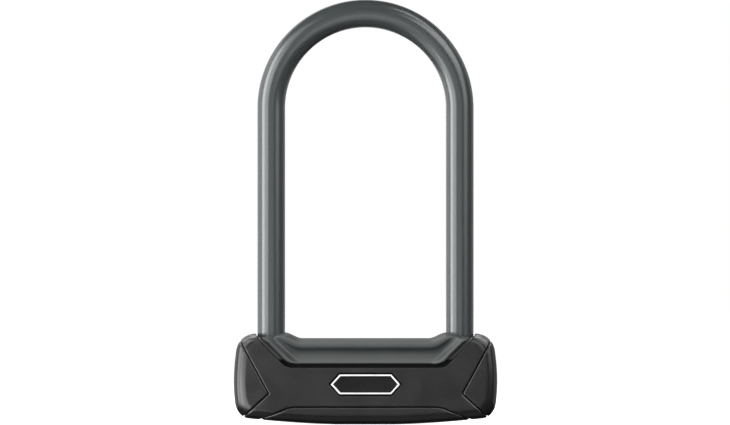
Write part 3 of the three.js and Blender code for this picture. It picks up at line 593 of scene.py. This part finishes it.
def cover_bevel(points):
    """Along the lower edges of the caps."""
    below = np.clip((CAP_TIP[1] - points[:, 1]) / BEVEL_WIDTH, 0, 1)
    return eased(cover_distance(points, (CAP_LEFT, CAP_RIGHT))) * below


def trim_bevel(points):
    """Along the trim's slanting ends."""
    beyond = np.clip((np.abs(points[:, 0]) - TRIM_CORNER[0]) / BEVEL_WIDTH, 0, 1)
    return eased(within(TRIM)(points)) * beyond


def rounded_lip(radius):
    """Radii and depths down the rounded upper edge of a hole."""
    return [(radius + EDGE - math.sqrt(EDGE ** 2 - (EDGE - d) ** 2), d) for d in EDGE_ROWS]


# How far cutters reach past what they cut, and how deep they go into it
PAST = 5
PAST_PLUG = 20
PAST_BAR = 30
LEG_CUT = 12
MOUTH_CUT = 9


def leg_cutters(top):
    radius = COAT_RADIUS + HOLE_GAP
    lip = [(r, top - d) for r, d in rounded_lip(radius)[::-1]]
    low, high = top - LEG_CUT, top + PAST
    profile = [(0, low), (radius, low), *lip, (radius + EDGE, high), (0, high)]
    return [lathe("cutter", profile, centre=(side * LEG_X, 0), closed=False) for side in (-1, 1)]


def make_cover(name, *steps):
    return moulding(
        name, cover_distance, [(line, 1) for line in SEAMS], [(SADDLE, REBATE_STEP), *steps], whole=False,
        rounded=cover_rounded, bevel=cover_bevel,
    )


front_cover = make_cover("front_cover_shell", (PLATE_RING, PLATE_STEP))
rear_cover = make_cover("rear_cover_shell")
rear_cover.data.transform(Matrix.Diagonal((-1, -1, 1, 1)))
for shell in (front_cover, rear_cover):
    cut(shell, *leg_cutters(COVER_TOP))

caps = {
    word: moulding(f"end_cap_{word}_shell", within(line), [(line, -1)])
    for word, line in (("left", CAP_LEFT), ("right", CAP_RIGHT))
}
trim = moulding("bottom_trim_shell", within(TRIM), [(TRIM, -1)], bevel=trim_bevel)
mouth_radius = mouth_high[0] + FIT_GAP
opening = [(0, -PAST), (mouth_radius + EDGE, -PAST), *rounded_lip(mouth_radius)]
opening += [(mouth_radius, MOUTH_CUT), (0, MOUTH_CUT)]
cut(trim, lathe("cutter", opening, closed=False))
for shell in (front_cover, rear_cover, *caps.values(), trim):
    follow_block(shell)


# Saddle. A place on it is given by x and by u, its distance along the section from the middle of the top.

TOP_HALF = HALF_DEPTH - TOP_EDGE[0]
CREASE_U = TOP_HALF + BEAD_LENGTH
LIP_U = CREASE_U + COVE_LENGTH
FAR_OFF = 99
diagonal = np.array(SADDLE_KNEE) - SADDLE_BASE
diagonal_out = np.array((diagonal[1], -diagonal[0])) / np.linalg.norm(diagonal)


def soft_least(first, second):
    """The lesser of two heights, with a rounded change from one to the other."""
    return second - np.logaddexp(0, (second - first) / CREASE_EASE) * CREASE_EASE


def smooth(share):
    return share * share * (3 - 2 * share)


def saddle_place(x, u):
    """Where the saddle's face is. Near the legs its top and crease rise, and along its ends it has a rim."""
    out = np.abs(x)
    rise = np.clip((out - FLARE_START) / (FLARE_PEAK - FLARE_START), 0, 1)
    fall = np.clip((out - FLARE_PEAK) / (FLARE_END - FLARE_PEAK), 0, 1)
    lift = FLARE_RISE * smooth(rise) - (FLARE_RISE - FLARE_LEFT) * (1 - (1 - fall) ** 1.5)
    crease_lift = CREASE_RISE * np.clip((out - FLARE_START) / (CREASE_END - FLARE_START), 0, 2) ** 2
    room = CREASE[1] - TOP_EDGE[1] - CREASE_BELOW + lift
    crease_lift = soft_least(crease_lift, room)
    bead_lift = soft_least(crease_lift, BEAD[1] - TOP_EDGE[1] + lift)
    drawn = np.clip(crease_lift / room, 0, 1) ** 2

    def at(corner, lifted=0, drawn_in=0):
        return HALF_DEPTH - corner[0] - drawn_in, BODY_TOP - corner[1] + lifted

    top, bead_top = at(TOP_EDGE, lift), at(BEAD_TOP, lift, BEAD_TOP_DRAWN * drawn)
    bead, crease = at(BEAD, bead_lift, BEAD_DRAWN * drawn), at(CREASE, crease_lift)
    along = np.abs(u)
    t = np.clip((along - TOP_HALF) / BEAD_LENGTH, 0, 1)
    low_t = np.clip((along - CREASE_U) / COVE_LENGTH, 0, 1)
    upper = [cubic_at(t, part) for part in zip(top, bead_top, bead, crease)]
    lower = [cubic_at(low_t, part) for part in zip(crease, at(COVE), at(COVE_LOW), at(LIP))]
    depth = np.where(along < TOP_HALF, along, np.where(along < CREASE_U, upper[0], lower[0]))
    height = np.where(along < TOP_HALF, top[1], np.where(along < CREASE_U, upper[1], lower[1]))
    from_edge = (out - SADDLE_BASE[0]) * diagonal_out[0] + (height - SADDLE_BASE[1]) * diagonal_out[1]
    share = smooth(np.clip(1 + (from_edge + RIM["flat"]) / RIM["width"], 0, 1)) * t ** 2
    depth = np.maximum(depth, depth + (HALF_DEPTH - RIM["below"] - depth) * share)
    return np.stack([x, np.sign(u) * depth, height], -1)


def u_at_height(x, height):
    """Where the front of the section at x has a height."""
    u = np.linspace(TOP_HALF, LIP_U, 400)
    heights = saddle_place(np.full(len(u), x), -u)[:, 2]
    return -np.interp(-height, -heights, u)


def saddle_row(inset):
    """The saddle's edge on the (x, u) plane, a distance in from its own boundary."""
    row = resampled(seam_row(SADDLE, -HALF_SEAM - inset), SADDLE_SPACING)
    top = BODY_TOP - TOP_EDGE[1] + FLARE_LEFT
    right = row[(row[:, 0] >= 0) & (row[:, 1] < top)]
    last = row[(row[:, 0] >= 0) & (row[:, 1] >= top)][0]
    share = (top - right[-1, 1]) / (last[1] - right[-1, 1])
    end_x = right[-1, 0] + share * (last[0] - right[-1, 0])
    front = [(x, u_at_height(x, z)) for x, z in right] + [(end_x, -TOP_HALF)]
    end = [(end_x, u) for u in np.linspace(-TOP_HALF, TOP_HALF, 18)[1:-1]]
    half = front + end + [(x, -u) for x, u in front[::-1]]
    return half + [(-x, u) for x, u in half[::-1]] + half[:1]


def saddle_gap(points):
    """The distances of (x, u) points from the saddle's boundary and from the leg holes."""
    place = saddle_place(points[:, 0], points[:, 1])
    edge = -seam_distance(place[:, (0, 2)], SADDLE) - HALF_SEAM
    hole = np.hypot(np.abs(points[:, 0]) - LEG_X, place[:, 1]) - COAT_RADIUS - HOLE_GAP
    return edge, np.where(np.abs(points[:, 1]) < TOP_HALF + 1, hole, FAR_OFF)


def make_saddle():
    bevel_rows = np.linspace(SADDLE_EDGE, DIAGONAL_EDGE["width"], 5)[1:]
    rows = [saddle_row(inset) for inset in (*SADDLE_ROWS, *bevel_rows)]
    turn = np.linspace(0, 2 * math.pi, 73)
    for side in (-1, 1):
        for far in SADDLE_ROWS:
            radius = COAT_RADIUS + HOLE_GAP + far
            rows.append(np.stack([side * LEG_X + radius * np.cos(turn), radius * np.sin(turn)], 1))
    half_rows = np.concatenate([
        np.linspace(0, TOP_HALF, 5)[:-1], np.linspace(TOP_HALF, CREASE_U, 21)[:-1],
        np.linspace(CREASE_U, LIP_U, 14),
    ])
    grid_u = np.concatenate([-half_rows[:0:-1], half_rows])
    fine, coarse, apart = 0.7, 4.0, 0.15
    end, leg = 54, 28
    grid_x = [np.arange(-end, -leg, fine), np.arange(-leg, leg, coarse), np.arange(leg, end + 0.5, fine)]
    grid = np.stack(np.meshgrid(np.concatenate(grid_x), grid_u), -1).reshape(-1, 2)
    edge_far, hole_far = saddle_gap(grid)
    far = (edge_far > DIAGONAL_EDGE["width"] + apart) & (hole_far > SADDLE_EDGE + apart)
    points, triangles = triangulated(rows, grid[far], lambda p: np.min(saddle_gap(p), axis=0) > 0)
    x, u = points[:, 0], points[:, 1]
    step = 0.01
    across = saddle_place(x + step, u) - saddle_place(x - step, u)
    along = saddle_place(x, u + step) - saddle_place(x, u - step)
    normal = np.cross(across, along)
    normal /= np.linalg.norm(normal, axis=1)[:, None]
    place = saddle_place(x, u)
    edge_gap, hole_gap = saddle_gap(points)
    on_diagonal = np.clip((place[:, 2] - SADDLE_BASE[1]) / DIAGONAL_EDGE["start"], 0, 1)
    on_diagonal *= np.clip((SADDLE_KNEE[1] - place[:, 2]) / DIAGONAL_EDGE["start"], 0, 1)
    bevel = DIAGONAL_EDGE["drop"] * on_diagonal * eased(edge_gap, DIAGONAL_EDGE["width"])
    drop = round_drop(edge_gap, hole_gap, SADDLE_EDGE) + bevel
    return closed_shell("saddle_shell", place, normal, drop, SADDLE_WALL, triangles, smooth_angle=70)


saddle = make_saddle()


# Shackle: a round bar bent to a U, in a soft coat with rounded ends

def bent_path(low_z):
    legs = np.linspace(low_z, BEND_Z, 12, endpoint=False)
    turn = np.linspace(math.pi, 0, 97)
    return (
        [((-LEG_X, z), math.pi) for z in legs]
        + [((LEG_X * math.cos(a), BEND_Z + LEG_X * math.sin(a)), a) for a in turn]
        + [((LEG_X, z), 0.0) for z in legs[::-1]]
    )


def bent_tube(name, profile, low_z, bore=None, sides=72):
    """A bar swept over the U. Its ends follow profile, as (height above low_z, radius) from the tip up."""
    radius = profile[-1][1]
    stations = [((-LEG_X, low_z + up), math.pi, r) for up, r in profile]
    stations += [(c, a, radius) for c, a in bent_path(low_z + profile[-1][0] + 1)]
    stations += [((LEG_X, low_z + up), 0.0, r) for up, r in profile[::-1]]
    if bore:
        inner = [((-LEG_X, low_z), math.pi, bore)]
        inner += [(c, a, bore) for c, a in bent_path(low_z + 1)] + [((LEG_X, low_z), 0.0, bore)]
        stations += inner[::-1]
    turn = turns(sides)
    verts = []
    for (cx, cz), angle, r in stations:
        out = r * np.cos(turn)
        verts.append(np.stack([cx + out * math.cos(angle), -r * np.sin(turn), cz + out * math.sin(angle)], 1))
    faces = []
    count = len(stations)
    for k in range(count if bore else count - 1):
        faces += band(k * sides, (k + 1) % count * sides, sides)
    if not bore:
        last = (count - 1) * sides
        faces += [list(range(sides))[::-1], list(range(last, last + sides))]
    return make_object(name, np.concatenate(verts), faces)


COAT_EDGE = 0.5
TIP_CHAMFER = 1.2
TIP_EASE = 0.15
BOLT_TRAVEL = 4.7376
NOTCH_ROOM = dict(beyond=0.6, beside=0.3)

coat_profile = [
    (COAT_EDGE * (1 - math.cos(a)), COAT_RADIUS - COAT_EDGE * (1 - math.sin(a)))
    for a in np.linspace(0, math.pi / 2, 5)
]
coating = bent_tube("shackle_coat", coat_profile, coat_low[2], bore=BAR_RADIUS + CLOSE_GAP)
bar_profile = [
    (0, BAR_RADIUS - TIP_CHAMFER - TIP_EASE), (0.08, BAR_RADIUS - TIP_CHAMFER),
    (TIP_CHAMFER, BAR_RADIUS - 0.06), (TIP_CHAMFER + TIP_EASE, BAR_RADIUS),
]
bar = bent_tube("shackle_bar_smooth", bar_profile, bar_low[2])
notch_x = bolt_high[0] + BOLT_TRAVEL + NOTCH_ROOM["beyond"]
notch_z = (bolt_low[2] - NOTCH_ROOM["beside"], bolt_high[2] + NOTCH_ROOM["beside"])
cut(bar, *(
    box("cutter", (low, -PAST_BAR, notch_z[0]), (high, PAST_BAR, notch_z[1]))
    for low, high in ((-notch_x, -PAST_BAR), (PAST_BAR, notch_x))
))


# The plate: a dark field inside a raised bright border

def hexagon(growth):
    return seam_row(PLATE_RING, growth)[:-1]


def make_plate():
    front, back = plate_low[1], plate_high[1]
    sections = [
        (-0.12, back), (0.0, back - 0.12), (0.0, front + 0.2), (-0.12, front + 0.05), (-0.22, front),
        (-0.74, front), (-0.81, front + 0.04), (-0.87, front + 0.22), (-0.98, front + 0.25),
    ]
    corners = hexagon(0)
    places = []
    for i, side in enumerate(np.roll(corners, -1, axis=0) - corners):
        pieces = max(1, round(np.linalg.norm(side) / PLATE_SPACING))
        places += [(i, share) for share in np.linspace(0, 1, pieces, endpoint=False)]
    verts = []
    for growth, y in sections:
        ring = hexagon(growth)
        following = np.roll(ring, -1, axis=0)
        for i, share in places:
            x, z = ring[i] + share * (following[i] - ring[i])
            verts.append((x, y, z))
    count = len(places)
    faces = [list(range(count))[::-1]]
    for low in range(0, (len(sections) - 1) * count, count):
        faces += band(low, low + count, count)
    faces.append(list(range(low + count, low + 2 * count)))
    return make_object("front_plate_framed", verts, faces, smooth_angle=50)


plate = make_plate()


# The seals, and the cylinder that shows in the trim's mouth

def rounded_ring(name, low, high, thickness, edge):
    """A ring round the Z axis that fills a box, with rounded edges."""
    centre = ((low[0] + high[0]) / 2, (low[1] + high[1]) / 2)
    outer = (high[0] - low[0]) / 2
    inner = outer - thickness
    corners = [
        (outer - edge, low[2] + edge, -90), (outer - edge, high[2] - edge, 0),
        (inner + edge, high[2] - edge, 90), (inner + edge, low[2] + edge, 180),
    ]
    profile = [
        (r + edge * math.cos(math.radians(start + turn)), z + edge * math.sin(math.radians(start + turn)))
        for r, z, start in corners for turn in (0, 30, 60, 90)
    ]
    return lathe(name, profile, centre)


def round_hole(low, high, gap, half_length):
    """A cutter along Y round a pin's box."""
    x, z = (low[0] + high[0]) / 2, (low[2] + high[2]) / 2
    radius = (high[0] - low[0]) / 2 + gap
    points = [(x + radius * math.cos(a), z + radius * math.sin(a)) for a in turns(32)]
    return prism("cutter", points, -half_length, half_length)


def upright_slot(x, y):
    """A cutter for the sidebar, upright at (x, y)."""
    radius = (sidebar_high[0] - sidebar_low[0]) / 2 + FIT_GAP
    low, high = sidebar_low[2] - FIT_GAP, sidebar_high[2] + FIT_GAP
    return lathe("cutter", [(0, low), (radius, low), (radius, high), (0, high)], (x, y), 32, closed=False)


LEG_SEAL = dict(thickness=1.4, edge=0.45)
MOUTH_SEAL = dict(thickness=1.35, edge=0.4)
FLANGE = dict(width=0.8, height=2.0)
CASE_WALL = 2.6
FACE_CHAMFER = 0.3
PLUG_FLOOR = 2.6
PLUG_WALL = 1.0
PLUG_STEP = 0.5
PLUG_DISH = dict(rim=0.9, depth=0.15)
KEY_SLOT = (1.5, 3.9)
KEY_CHAMFER = 0.35
DOG = dict(half=1.8, height=1.8)

leg_seals = {
    word: rounded_ring(f"leg_seal_{word}_ring", *node_box(f"leg_seal_{word}"), **LEG_SEAL)
    for word in ("left", "right")
}
mouth_seal = rounded_ring("keyhole_seal_ring", mouth_low, mouth_high, **MOUTH_SEAL)


def make_housing():
    outer = housing_high[0]
    radius = outer - FLANGE["width"]
    bore = plug_high[0] + FIT_GAP
    face, top = housing_low[2], housing_high[2]
    flange = case_low[2] + CASE_WALL + FIT_GAP
    profile = [
        (radius - FACE_CHAMFER, face), (radius, face + FACE_CHAMFER), (radius, flange), (outer, flange),
        (outer, flange + FLANGE["height"]), (radius, flange + FLANGE["height"]), (radius, top), (bore, top),
        (bore, face + FACE_CHAMFER), (bore + FACE_CHAMFER, face),
    ]
    made = lathe("cylinder_housing_turned", profile)
    return cut(made, round_hole(cross_low, cross_high, CLOSE_GAP, PAST_PLUG), upright_slot(0, plug_high[0]))


def make_plug():
    radius = plug_high[0]
    bore = radius - PLUG_WALL
    face, top = plug_low[2], plug_high[2]
    floor_z = face + PLUG_FLOOR
    seat = guard_low[2] - FIT_GAP
    rim, dish = radius - PLUG_DISH["rim"], face + PLUG_DISH["depth"]
    profile = [
        (0, dish), (rim - PLUG_DISH["depth"], dish), (rim, face),
        (radius - FACE_CHAMFER, face), (radius, face + FACE_CHAMFER), (radius, top), (bore, top),
        (bore, seat), (bore - PLUG_STEP, seat), (bore - PLUG_STEP, floor_z), (0, floor_z),
    ]
    made = lathe("cylinder_plug_turned", profile, closed=False)
    x, y = KEY_SLOT
    slot = box("cutter", (-x, -y, -PAST), (x, y, floor_z + PAST))
    flare = [
        (sx * (x + grow), sy * (y + grow), dish + z)
        for grow, z in ((KEY_CHAMFER + 0.2, -0.2), (0, KEY_CHAMFER))
        for sx, sy in ((-1, -1), (1, -1), (1, 1), (-1, 1))
    ]
    flare_faces = [[3, 2, 1, 0], [4, 5, 6, 7], *band(0, 4, 4)]
    dog, dog_low = DOG["half"], top + FIT_GAP - DOG["height"]
    notch = box("cutter", (-dog, -PAST_PLUG, dog_low), (dog, PAST_PLUG, top + PAST))
    sidebar_x = (sidebar_low[0] + sidebar_high[0]) / 2
    return cut(
        made, slot, make_object("cutter", flare, flare_faces), notch, upright_slot(sidebar_x, 0),
        round_hole(flap_pin_low, flap_pin_high, CLOSE_GAP, flap_pin_high[1] + CLOSE_GAP),
    )


housing = make_housing()
plug = make_plug()
for turned in (housing, plug):
    turned.data.shade_smooth()
    turned.data.set_sharp_from_angle(angle=math.radians(30))


# Materials

def shader(name, colour, roughness, metallic=0.0, specular=0.5):
    material = bpy.data.materials.new(name)
    material.use_nodes = True
    bsdf = material.node_tree.nodes["Principled BSDF"]
    values = {"Base Color": (*colour, 1), "Roughness": roughness, "Metallic": metallic}
    for key, value in {**values, "Specular IOR Level": specular}.items():
        bsdf.inputs[key].default_value = value
    return material, material.node_tree, bsdf


def node(tree, kind, **settings):
    """A node. Each setting is a value or a link of one of its inputs, or else a property."""
    made = tree.nodes.new(kind)
    for key, value in settings.items():
        if isinstance(value, bpy.types.NodeSocket):
            tree.links.new(value, made.inputs[key])
        elif key in made.inputs:
            made.inputs[key].default_value = value
        else:
            setattr(made, key, value)
    return made


def place_on(tree, stretch=(1, 1, 1)):
    place = node(tree, "ShaderNodeTexCoord").outputs["Object"]
    return node(tree, "ShaderNodeMapping", Vector=place, Scale=stretch).outputs["Vector"]


def noise(tree, vector, size_mm, detail, rough=0.5):
    """Noise with features about size_mm across."""
    scale = 1 / (size_mm * MM)
    made = node(tree, "ShaderNodeTexNoise", Vector=vector, Scale=scale, Detail=detail, Roughness=rough)
    return made.outputs["Fac"]


def blend_colours(tree, factor, low, high, spread=(0.35, 0.65)):
    ramp = node(tree, "ShaderNodeValToRGB", Fac=factor)
    for stop, position, colour in zip(ramp.color_ramp.elements, spread, (low, high)):
        stop.position = position
        stop.color = (*colour, 1)
    return ramp.outputs["Color"]


def spread_value(tree, factor, low, high):
    """Spreads the middle part of a noise over a range."""
    limits = {"From Min": 0.3, "From Max": 0.7, "To Min": low, "To Max": high}
    return node(tree, "ShaderNodeMapRange", Value=factor, **limits).outputs["Result"]


def cover_with(tree, bsdf, colour, roughness, grain, grain_depth):
    bump = node(tree, "ShaderNodeBump", Height=grain, Strength=1.0, Distance=grain_depth * MM)
    tree.links.new(colour, bsdf.inputs["Base Color"])
    tree.links.new(roughness, bsdf.inputs["Roughness"])
    tree.links.new(bump.outputs["Normal"], bsdf.inputs["Normal"])


def moulded(name, low, high, roughness, grain_mm, grain_depth, specular=0.5):
    """Moulded plastic or rubber with a fine spark grain and slight unevenness of colour and gloss."""
    material, tree, bsdf = shader(name, high, roughness[1], specular=specular)
    place = place_on(tree)
    cloud = noise(tree, place, size_mm=14, detail=4)
    grain = noise(tree, place, grain_mm, detail=2, rough=0.6)
    colour = blend_colours(tree, cloud, low, high)
    cover_with(tree, bsdf, colour, spread_value(tree, cloud, *roughness), grain, grain_depth)
    return material


def metal(name, low, high, roughness, stretch=(1, 1, 1), grain_mm=0.6, grain_depth=0.01, metallic=1.0):
    """Worked metal with a directional grain."""
    material, tree, bsdf = shader(name, high, roughness[1], metallic)
    cloud = noise(tree, place_on(tree), size_mm=9, detail=4)
    grain = noise(tree, place_on(tree, stretch), grain_mm, detail=3, rough=0.6)
    colour = blend_colours(tree, cloud, low, high)
    cover_with(tree, bsdf, colour, spread_value(tree, grain, *roughness), grain, grain_depth)
    return material


def flecked(name):
    """The shackle's coat: blue-grey vinyl with a fine metallic fleck."""
    plain, bright, fleck_mm = (0.05, 0.0565, 0.0575), (0.057, 0.0635, 0.065), 0.3
    material, tree, bsdf = shader(name, plain, 0.24, metallic=0.12, specular=0.85)
    place = place_on(tree)
    cells = node(tree, "ShaderNodeTexVoronoi", Vector=place, Scale=1 / (fleck_mm * MM))
    split = node(tree, "ShaderNodeSeparateColor", Color=cells.outputs["Color"])
    colour = blend_colours(tree, split.outputs[0], plain, bright, (0.3, 1.0))
    roughness = spread_value(tree, split.outputs[1], 0.22, 0.26)
    cover_with(tree, bsdf, colour, roughness, noise(tree, place, size_mm=0.5, detail=3, rough=0.65), 0.006)
    return material


looks = {"shackle_coating": flecked("shackle_coating")}
for name, *values in (
    ("cover_plastic", (0.0075, 0.0075, 0.0078), (0.009, 0.009, 0.0093), (0.2, 0.25), 0.28, 0.012),
    ("saddle_plastic", (0.025, 0.0285, 0.0283), (0.029, 0.033, 0.0327), (0.38, 0.46), 0.35, 0.02),
    ("seal_rubber", (0.012, 0.012, 0.012), (0.018, 0.018, 0.018), (0.6, 0.75), 0.4, 0.03),
):
    looks[name] = moulded(name, *values)
for name, *values in (
    ("hardened_steel", (0.36, 0.36, 0.37), (0.46, 0.46, 0.47), (0.24, 0.36), (1, 1, 0.05)),
    ("case_steel", (0.16, 0.165, 0.17), (0.21, 0.215, 0.22), (0.36, 0.5), (0.05, 1, 1)),
    ("bright_steel", (0.5, 0.5, 0.5), (0.6, 0.6, 0.6), (0.18, 0.3)),
    ("brass", (0.6, 0.45, 0.21), (0.66, 0.5, 0.24), (0.4, 0.46), (1, 1, 1), 0.6, 0.006),
    ("cast_zinc", (0.3, 0.305, 0.31), (0.38, 0.385, 0.39), (0.45, 0.6), (1, 1, 1), 0.9, 0.03),
    ("front_plate", (0.74, 0.74, 0.74), (0.8, 0.8, 0.8), (0.3, 0.4), (0.05, 1, 1), 0.25, 0.004, 0.5),
):
    looks[name] = metal(name, *values)
# Painted shade: near-black, barely glossy plastic laid where shadow falls in the covers' rebates
painted_shade = moulded(
    "painted_shade", (0.0025, 0.0025, 0.0025), (0.003, 0.003, 0.003), (0.8, 0.9), 0.28, 0.012, specular=0.05,
)
plate_field = moulded(
    "plate_field", (0.004, 0.004, 0.004), (0.006, 0.006, 0.006), (0.45, 0.6), 0.3, 0.05, specular=0.13,
)


def dress(obj, slot, replaced, body="lock_body"):
    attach(obj, body)
    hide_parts(replaced)
    obj.data.materials.clear()
    obj.data.materials.append(looks[slot])


dress(front_cover, "cover_plastic", "front_cover")
dress(rear_cover, "cover_plastic", "rear_cover")
dress(trim, "cover_plastic", "bottom_trim")
for word, cap in caps.items():
    dress(cap, "cover_plastic", f"end_cap_{word}")
dress(saddle, "saddle_plastic", "saddle")
dress(plate, "front_plate", "front_plate")
dress(coating, "shackle_coating", "shackle_coating", "shackle")
dress(bar, "hardened_steel", "shackle_bar", "shackle")
for word, seal in leg_seals.items():
    dress(seal, "seal_rubber", f"leg_seal_{word}")
dress(mouth_seal, "seal_rubber", "keyhole_seal")
dress(housing, "brass", "cylinder_housing")
dress(plug, "brass", "cylinder_plug", "key_plug")
FIELD_BELOW = 0.15
plate.data.materials.append(plate_field)
for polygon in plate.data.polygons:
    if polygon.normal.y < -0.9 and polygon.center.y > (plate_low[1] + FIELD_BELOW) * MM:
        polygon.material_index = 1

# The covers get painted shade where they lie deep beside a seam: a near-black, barely glossy material on the
# sunk faces along the rebate's level part under the saddle, on the rebate's step along its slanting parts,
# and in the step round the plate
SUNK = 0.2
LEVEL_ABOVE = 0.6
for shell in (front_cover, rear_cover):
    shell.data.materials.append(painted_shade)
    middles = np.array([polygon.center for polygon in shell.data.polygons]) / MM
    flat = middles[:, (0, 2)]
    sunk = -block_front(flat)[0][:, 1] - np.abs(middles[:, 1]) > SUNK
    gap = seam_distance(flat, SADDLE)
    level = middles[:, 2] < SADDLE_BASE[1] + LEVEL_ABOVE
    painted_shade_faces = (gap < REBATE_STEP[-2][0]) & (level | (gap > REBATE_STEP[0][0]))
    painted_shade_faces |= seam_distance(flat, PLATE_RING) < PLATE_STEP[-2][0]
    for polygon, low in zip(shell.data.polygons, painted_shade_faces & sunk):
        polygon.material_index = int(low)

slot_of = {row["node"]: row["material_slot"] for row in frame["record"]["subparts"]}
for name, obj in nodes.items():
    look = looks[slot_of[name]]
    for held in obj.material_slots:
        held.material = look
    if not obj.material_slots:
        obj.data.materials.append(look)


# Floor, backdrop, lights and the picture's tones

def glow_seen(tree, shaded, strength):
    """Adds white light of its own to a surface of the stage, for the camera alone."""
    power = node(tree, "ShaderNodeMath", operation="MULTIPLY")
    tree.links.new(node(tree, "ShaderNodeLightPath").outputs["Is Camera Ray"], power.inputs[0])
    power.inputs[1].default_value = strength
    light = node(tree, "ShaderNodeEmission", Color=(1, 1, 1, 1), Strength=power.outputs[0])
    both = node(tree, "ShaderNodeAddShader")
    tree.links.new(shaded, both.inputs[0])
    tree.links.new(light.outputs[0], both.inputs[1])
    return both.outputs[0]


floor_mesh = bpy.data.meshes.new("floor")
floor_mesh.from_pydata([(-6, -6, 0), (6, -6, 0), (6, 6, 0), (-6, 6, 0)], [], [(0, 1, 2, 3)])
floor = bpy.data.objects.new("floor", floor_mesh)
bpy.context.scene.collection.objects.link(floor)
floor.visible_diffuse = floor.visible_glossy = floor.visible_shadow = False
pale, pale_tree, pale_bsdf = shader("pale_floor", (0.8, 0.8, 0.8), 0.8)
pale_glow = glow_seen(pale_tree, pale_bsdf.outputs[0], 1.05)
pale_tree.links.new(pale_glow, pale_tree.nodes["Material Output"].inputs["Surface"])
floor_mesh.materials.append(pale)

world = bpy.data.worlds.new("studio")
world.use_nodes = True
bpy.context.scene.world = world
sky = world.node_tree
background = sky.nodes["Background"]
background.inputs["Strength"].default_value = 0.0
sky.links.new(glow_seen(sky, background.outputs[0], 1.0), sky.nodes["World Output"].inputs["Surface"])

LIGHT_AIM = Vector((0, 0, 0.1))
LIGHT_DISTANCE = 1.3


def light_group(name, *pieces):
    """Pieces that some of the softboxes light alone."""
    group = bpy.data.collections.new(name)
    for piece in pieces:
        group.objects.link(piece)
    return group


def softbox(name, turn, rise, size, power, group=None):
    """A softbox that faces the lock from a turn to the left of the camera and a rise, in degrees."""
    turn, rise = math.radians(turn), math.radians(rise)
    away = Vector((-math.sin(turn) * math.cos(rise), -math.cos(turn) * math.cos(rise), math.sin(rise)))
    data = bpy.data.lights.new(name, "AREA")
    data.shape = "RECTANGLE"
    data.size, data.size_y = size
    data.energy = power
    lamp = bpy.data.objects.new(name, data)
    lamp.location = LIGHT_AIM + away * LIGHT_DISTANCE
    lamp.rotation_mode = "QUATERNION"
    lamp.rotation_quaternion = (-away).to_track_quat("-Z", "Y")
    lamp.visible_camera = False
    bpy.context.scene.collection.objects.link(lamp)
    if group:
        lamp.light_linking.receiver_collection = group


on_body = light_group(
    "lit_on_body", front_cover, rear_cover, trim, saddle, plate, mouth_seal, housing, plug, *caps.values(),
    *leg_seals.values(),
)
on_covers = light_group("lit_on_covers", front_cover, rear_cover, trim, plate, *caps.values())
on_saddle = light_group("lit_on_saddle", saddle)
on_shackle = light_group("lit_on_shackle", coating, bar)
on_cylinder = light_group("lit_on_cylinder", housing, plug)

softbox("left_strip", 57, 0, (1.1, 1.16), 13.5)
softbox("left_upper", 59, 36, (1.08, 0.55), 3.5)
softbox("side_left", 107, 8, (0.7, 1.5), 5)
softbox("rear_left", 147, 12, (1.0, 1.5), 5)
softbox("rear_right", -139, 12, (1.3, 1.5), 3)
softbox("rear", 180, 0, (0.7, 2.6), 3)
softbox("right_upper", -52, 36, (1.1, 0.55), 6.6)
softbox("right_middle", -52, 12, (0.7, 0.55), 2.5)
softbox("body_left", 70, 5, (0.55, 1.0), 6, on_body)
softbox("body_top_left", 85, 60, (0.7, 1.1), 12, on_body)
softbox("covers_overhead", 0, 90, (1.2, 0.8), 8, on_covers)
softbox("covers_top_rear", 180, 60, (1.0, 0.55), 7.3, on_covers)
softbox("covers_rear_left", 125, 40, (0.9, 0.7), 3, on_covers)
softbox("covers_rear_right", -125, 40, (0.9, 0.7), 3, on_covers)
softbox("saddle_top", 0, 72, (1.0, 0.6), 3.5, on_saddle)
softbox("saddle_top_rear", 180, 62, (1.0, 0.7), 4, on_saddle)
softbox("covers_top_right", -75, 60, (0.7, 0.9), 9, on_covers)
softbox("body_top_right", -45, 60, (0.51, 0.55), 1.8, on_body)
softbox("body_top_front", 15, 36, (1.0, 0.7), 2.6, on_body)
softbox("covers_edge", 38, 33, (0.35, 0.35), 1.6, on_covers)
softbox("covers_right", -96, 8, (0.5, 1.2), 1.6, on_covers)
softbox("covers_low", 30, -12, (1.02, 0.55), 9, on_covers)
softbox("saddle_low", 36, -14, (1.02, 0.55), 4.5, on_saddle)
softbox("saddle_front", 0, 53, (1.0, 0.8), 1.9, on_saddle)
softbox("body_under", 0, -62, (1.4, 1.0), 1.0, on_body)
softbox("cylinder_under", 15, -55, (1.2, 1.0), 4, on_cylinder)
softbox("body_front", -7.5, 12, (0.68, 0.55), 2.6, on_body)
softbox("shackle_left", 72, 10, (0.6, 1.3), 11.5, on_shackle)
softbox("shackle_front", -4, 0, (0.75, 1.16), 1.1, on_shackle)
softbox("shackle_inner", 32, 0, (0.34, 1.16), 2.6, on_shackle)
softbox("shackle_low", 0, -24, (1.0, 1.1), 2.6, on_shackle)
softbox("shackle_left_low", 60, -36, (1.08, 0.55), 2.6, on_shackle)
softbox("shackle_right_high", -67.5, 60, (0.34, 0.55), 1.9, on_shackle)

settings = bpy.context.scene.view_settings
settings.view_transform = "Standard"
settings.look = "None"
settings.exposure = 0.0
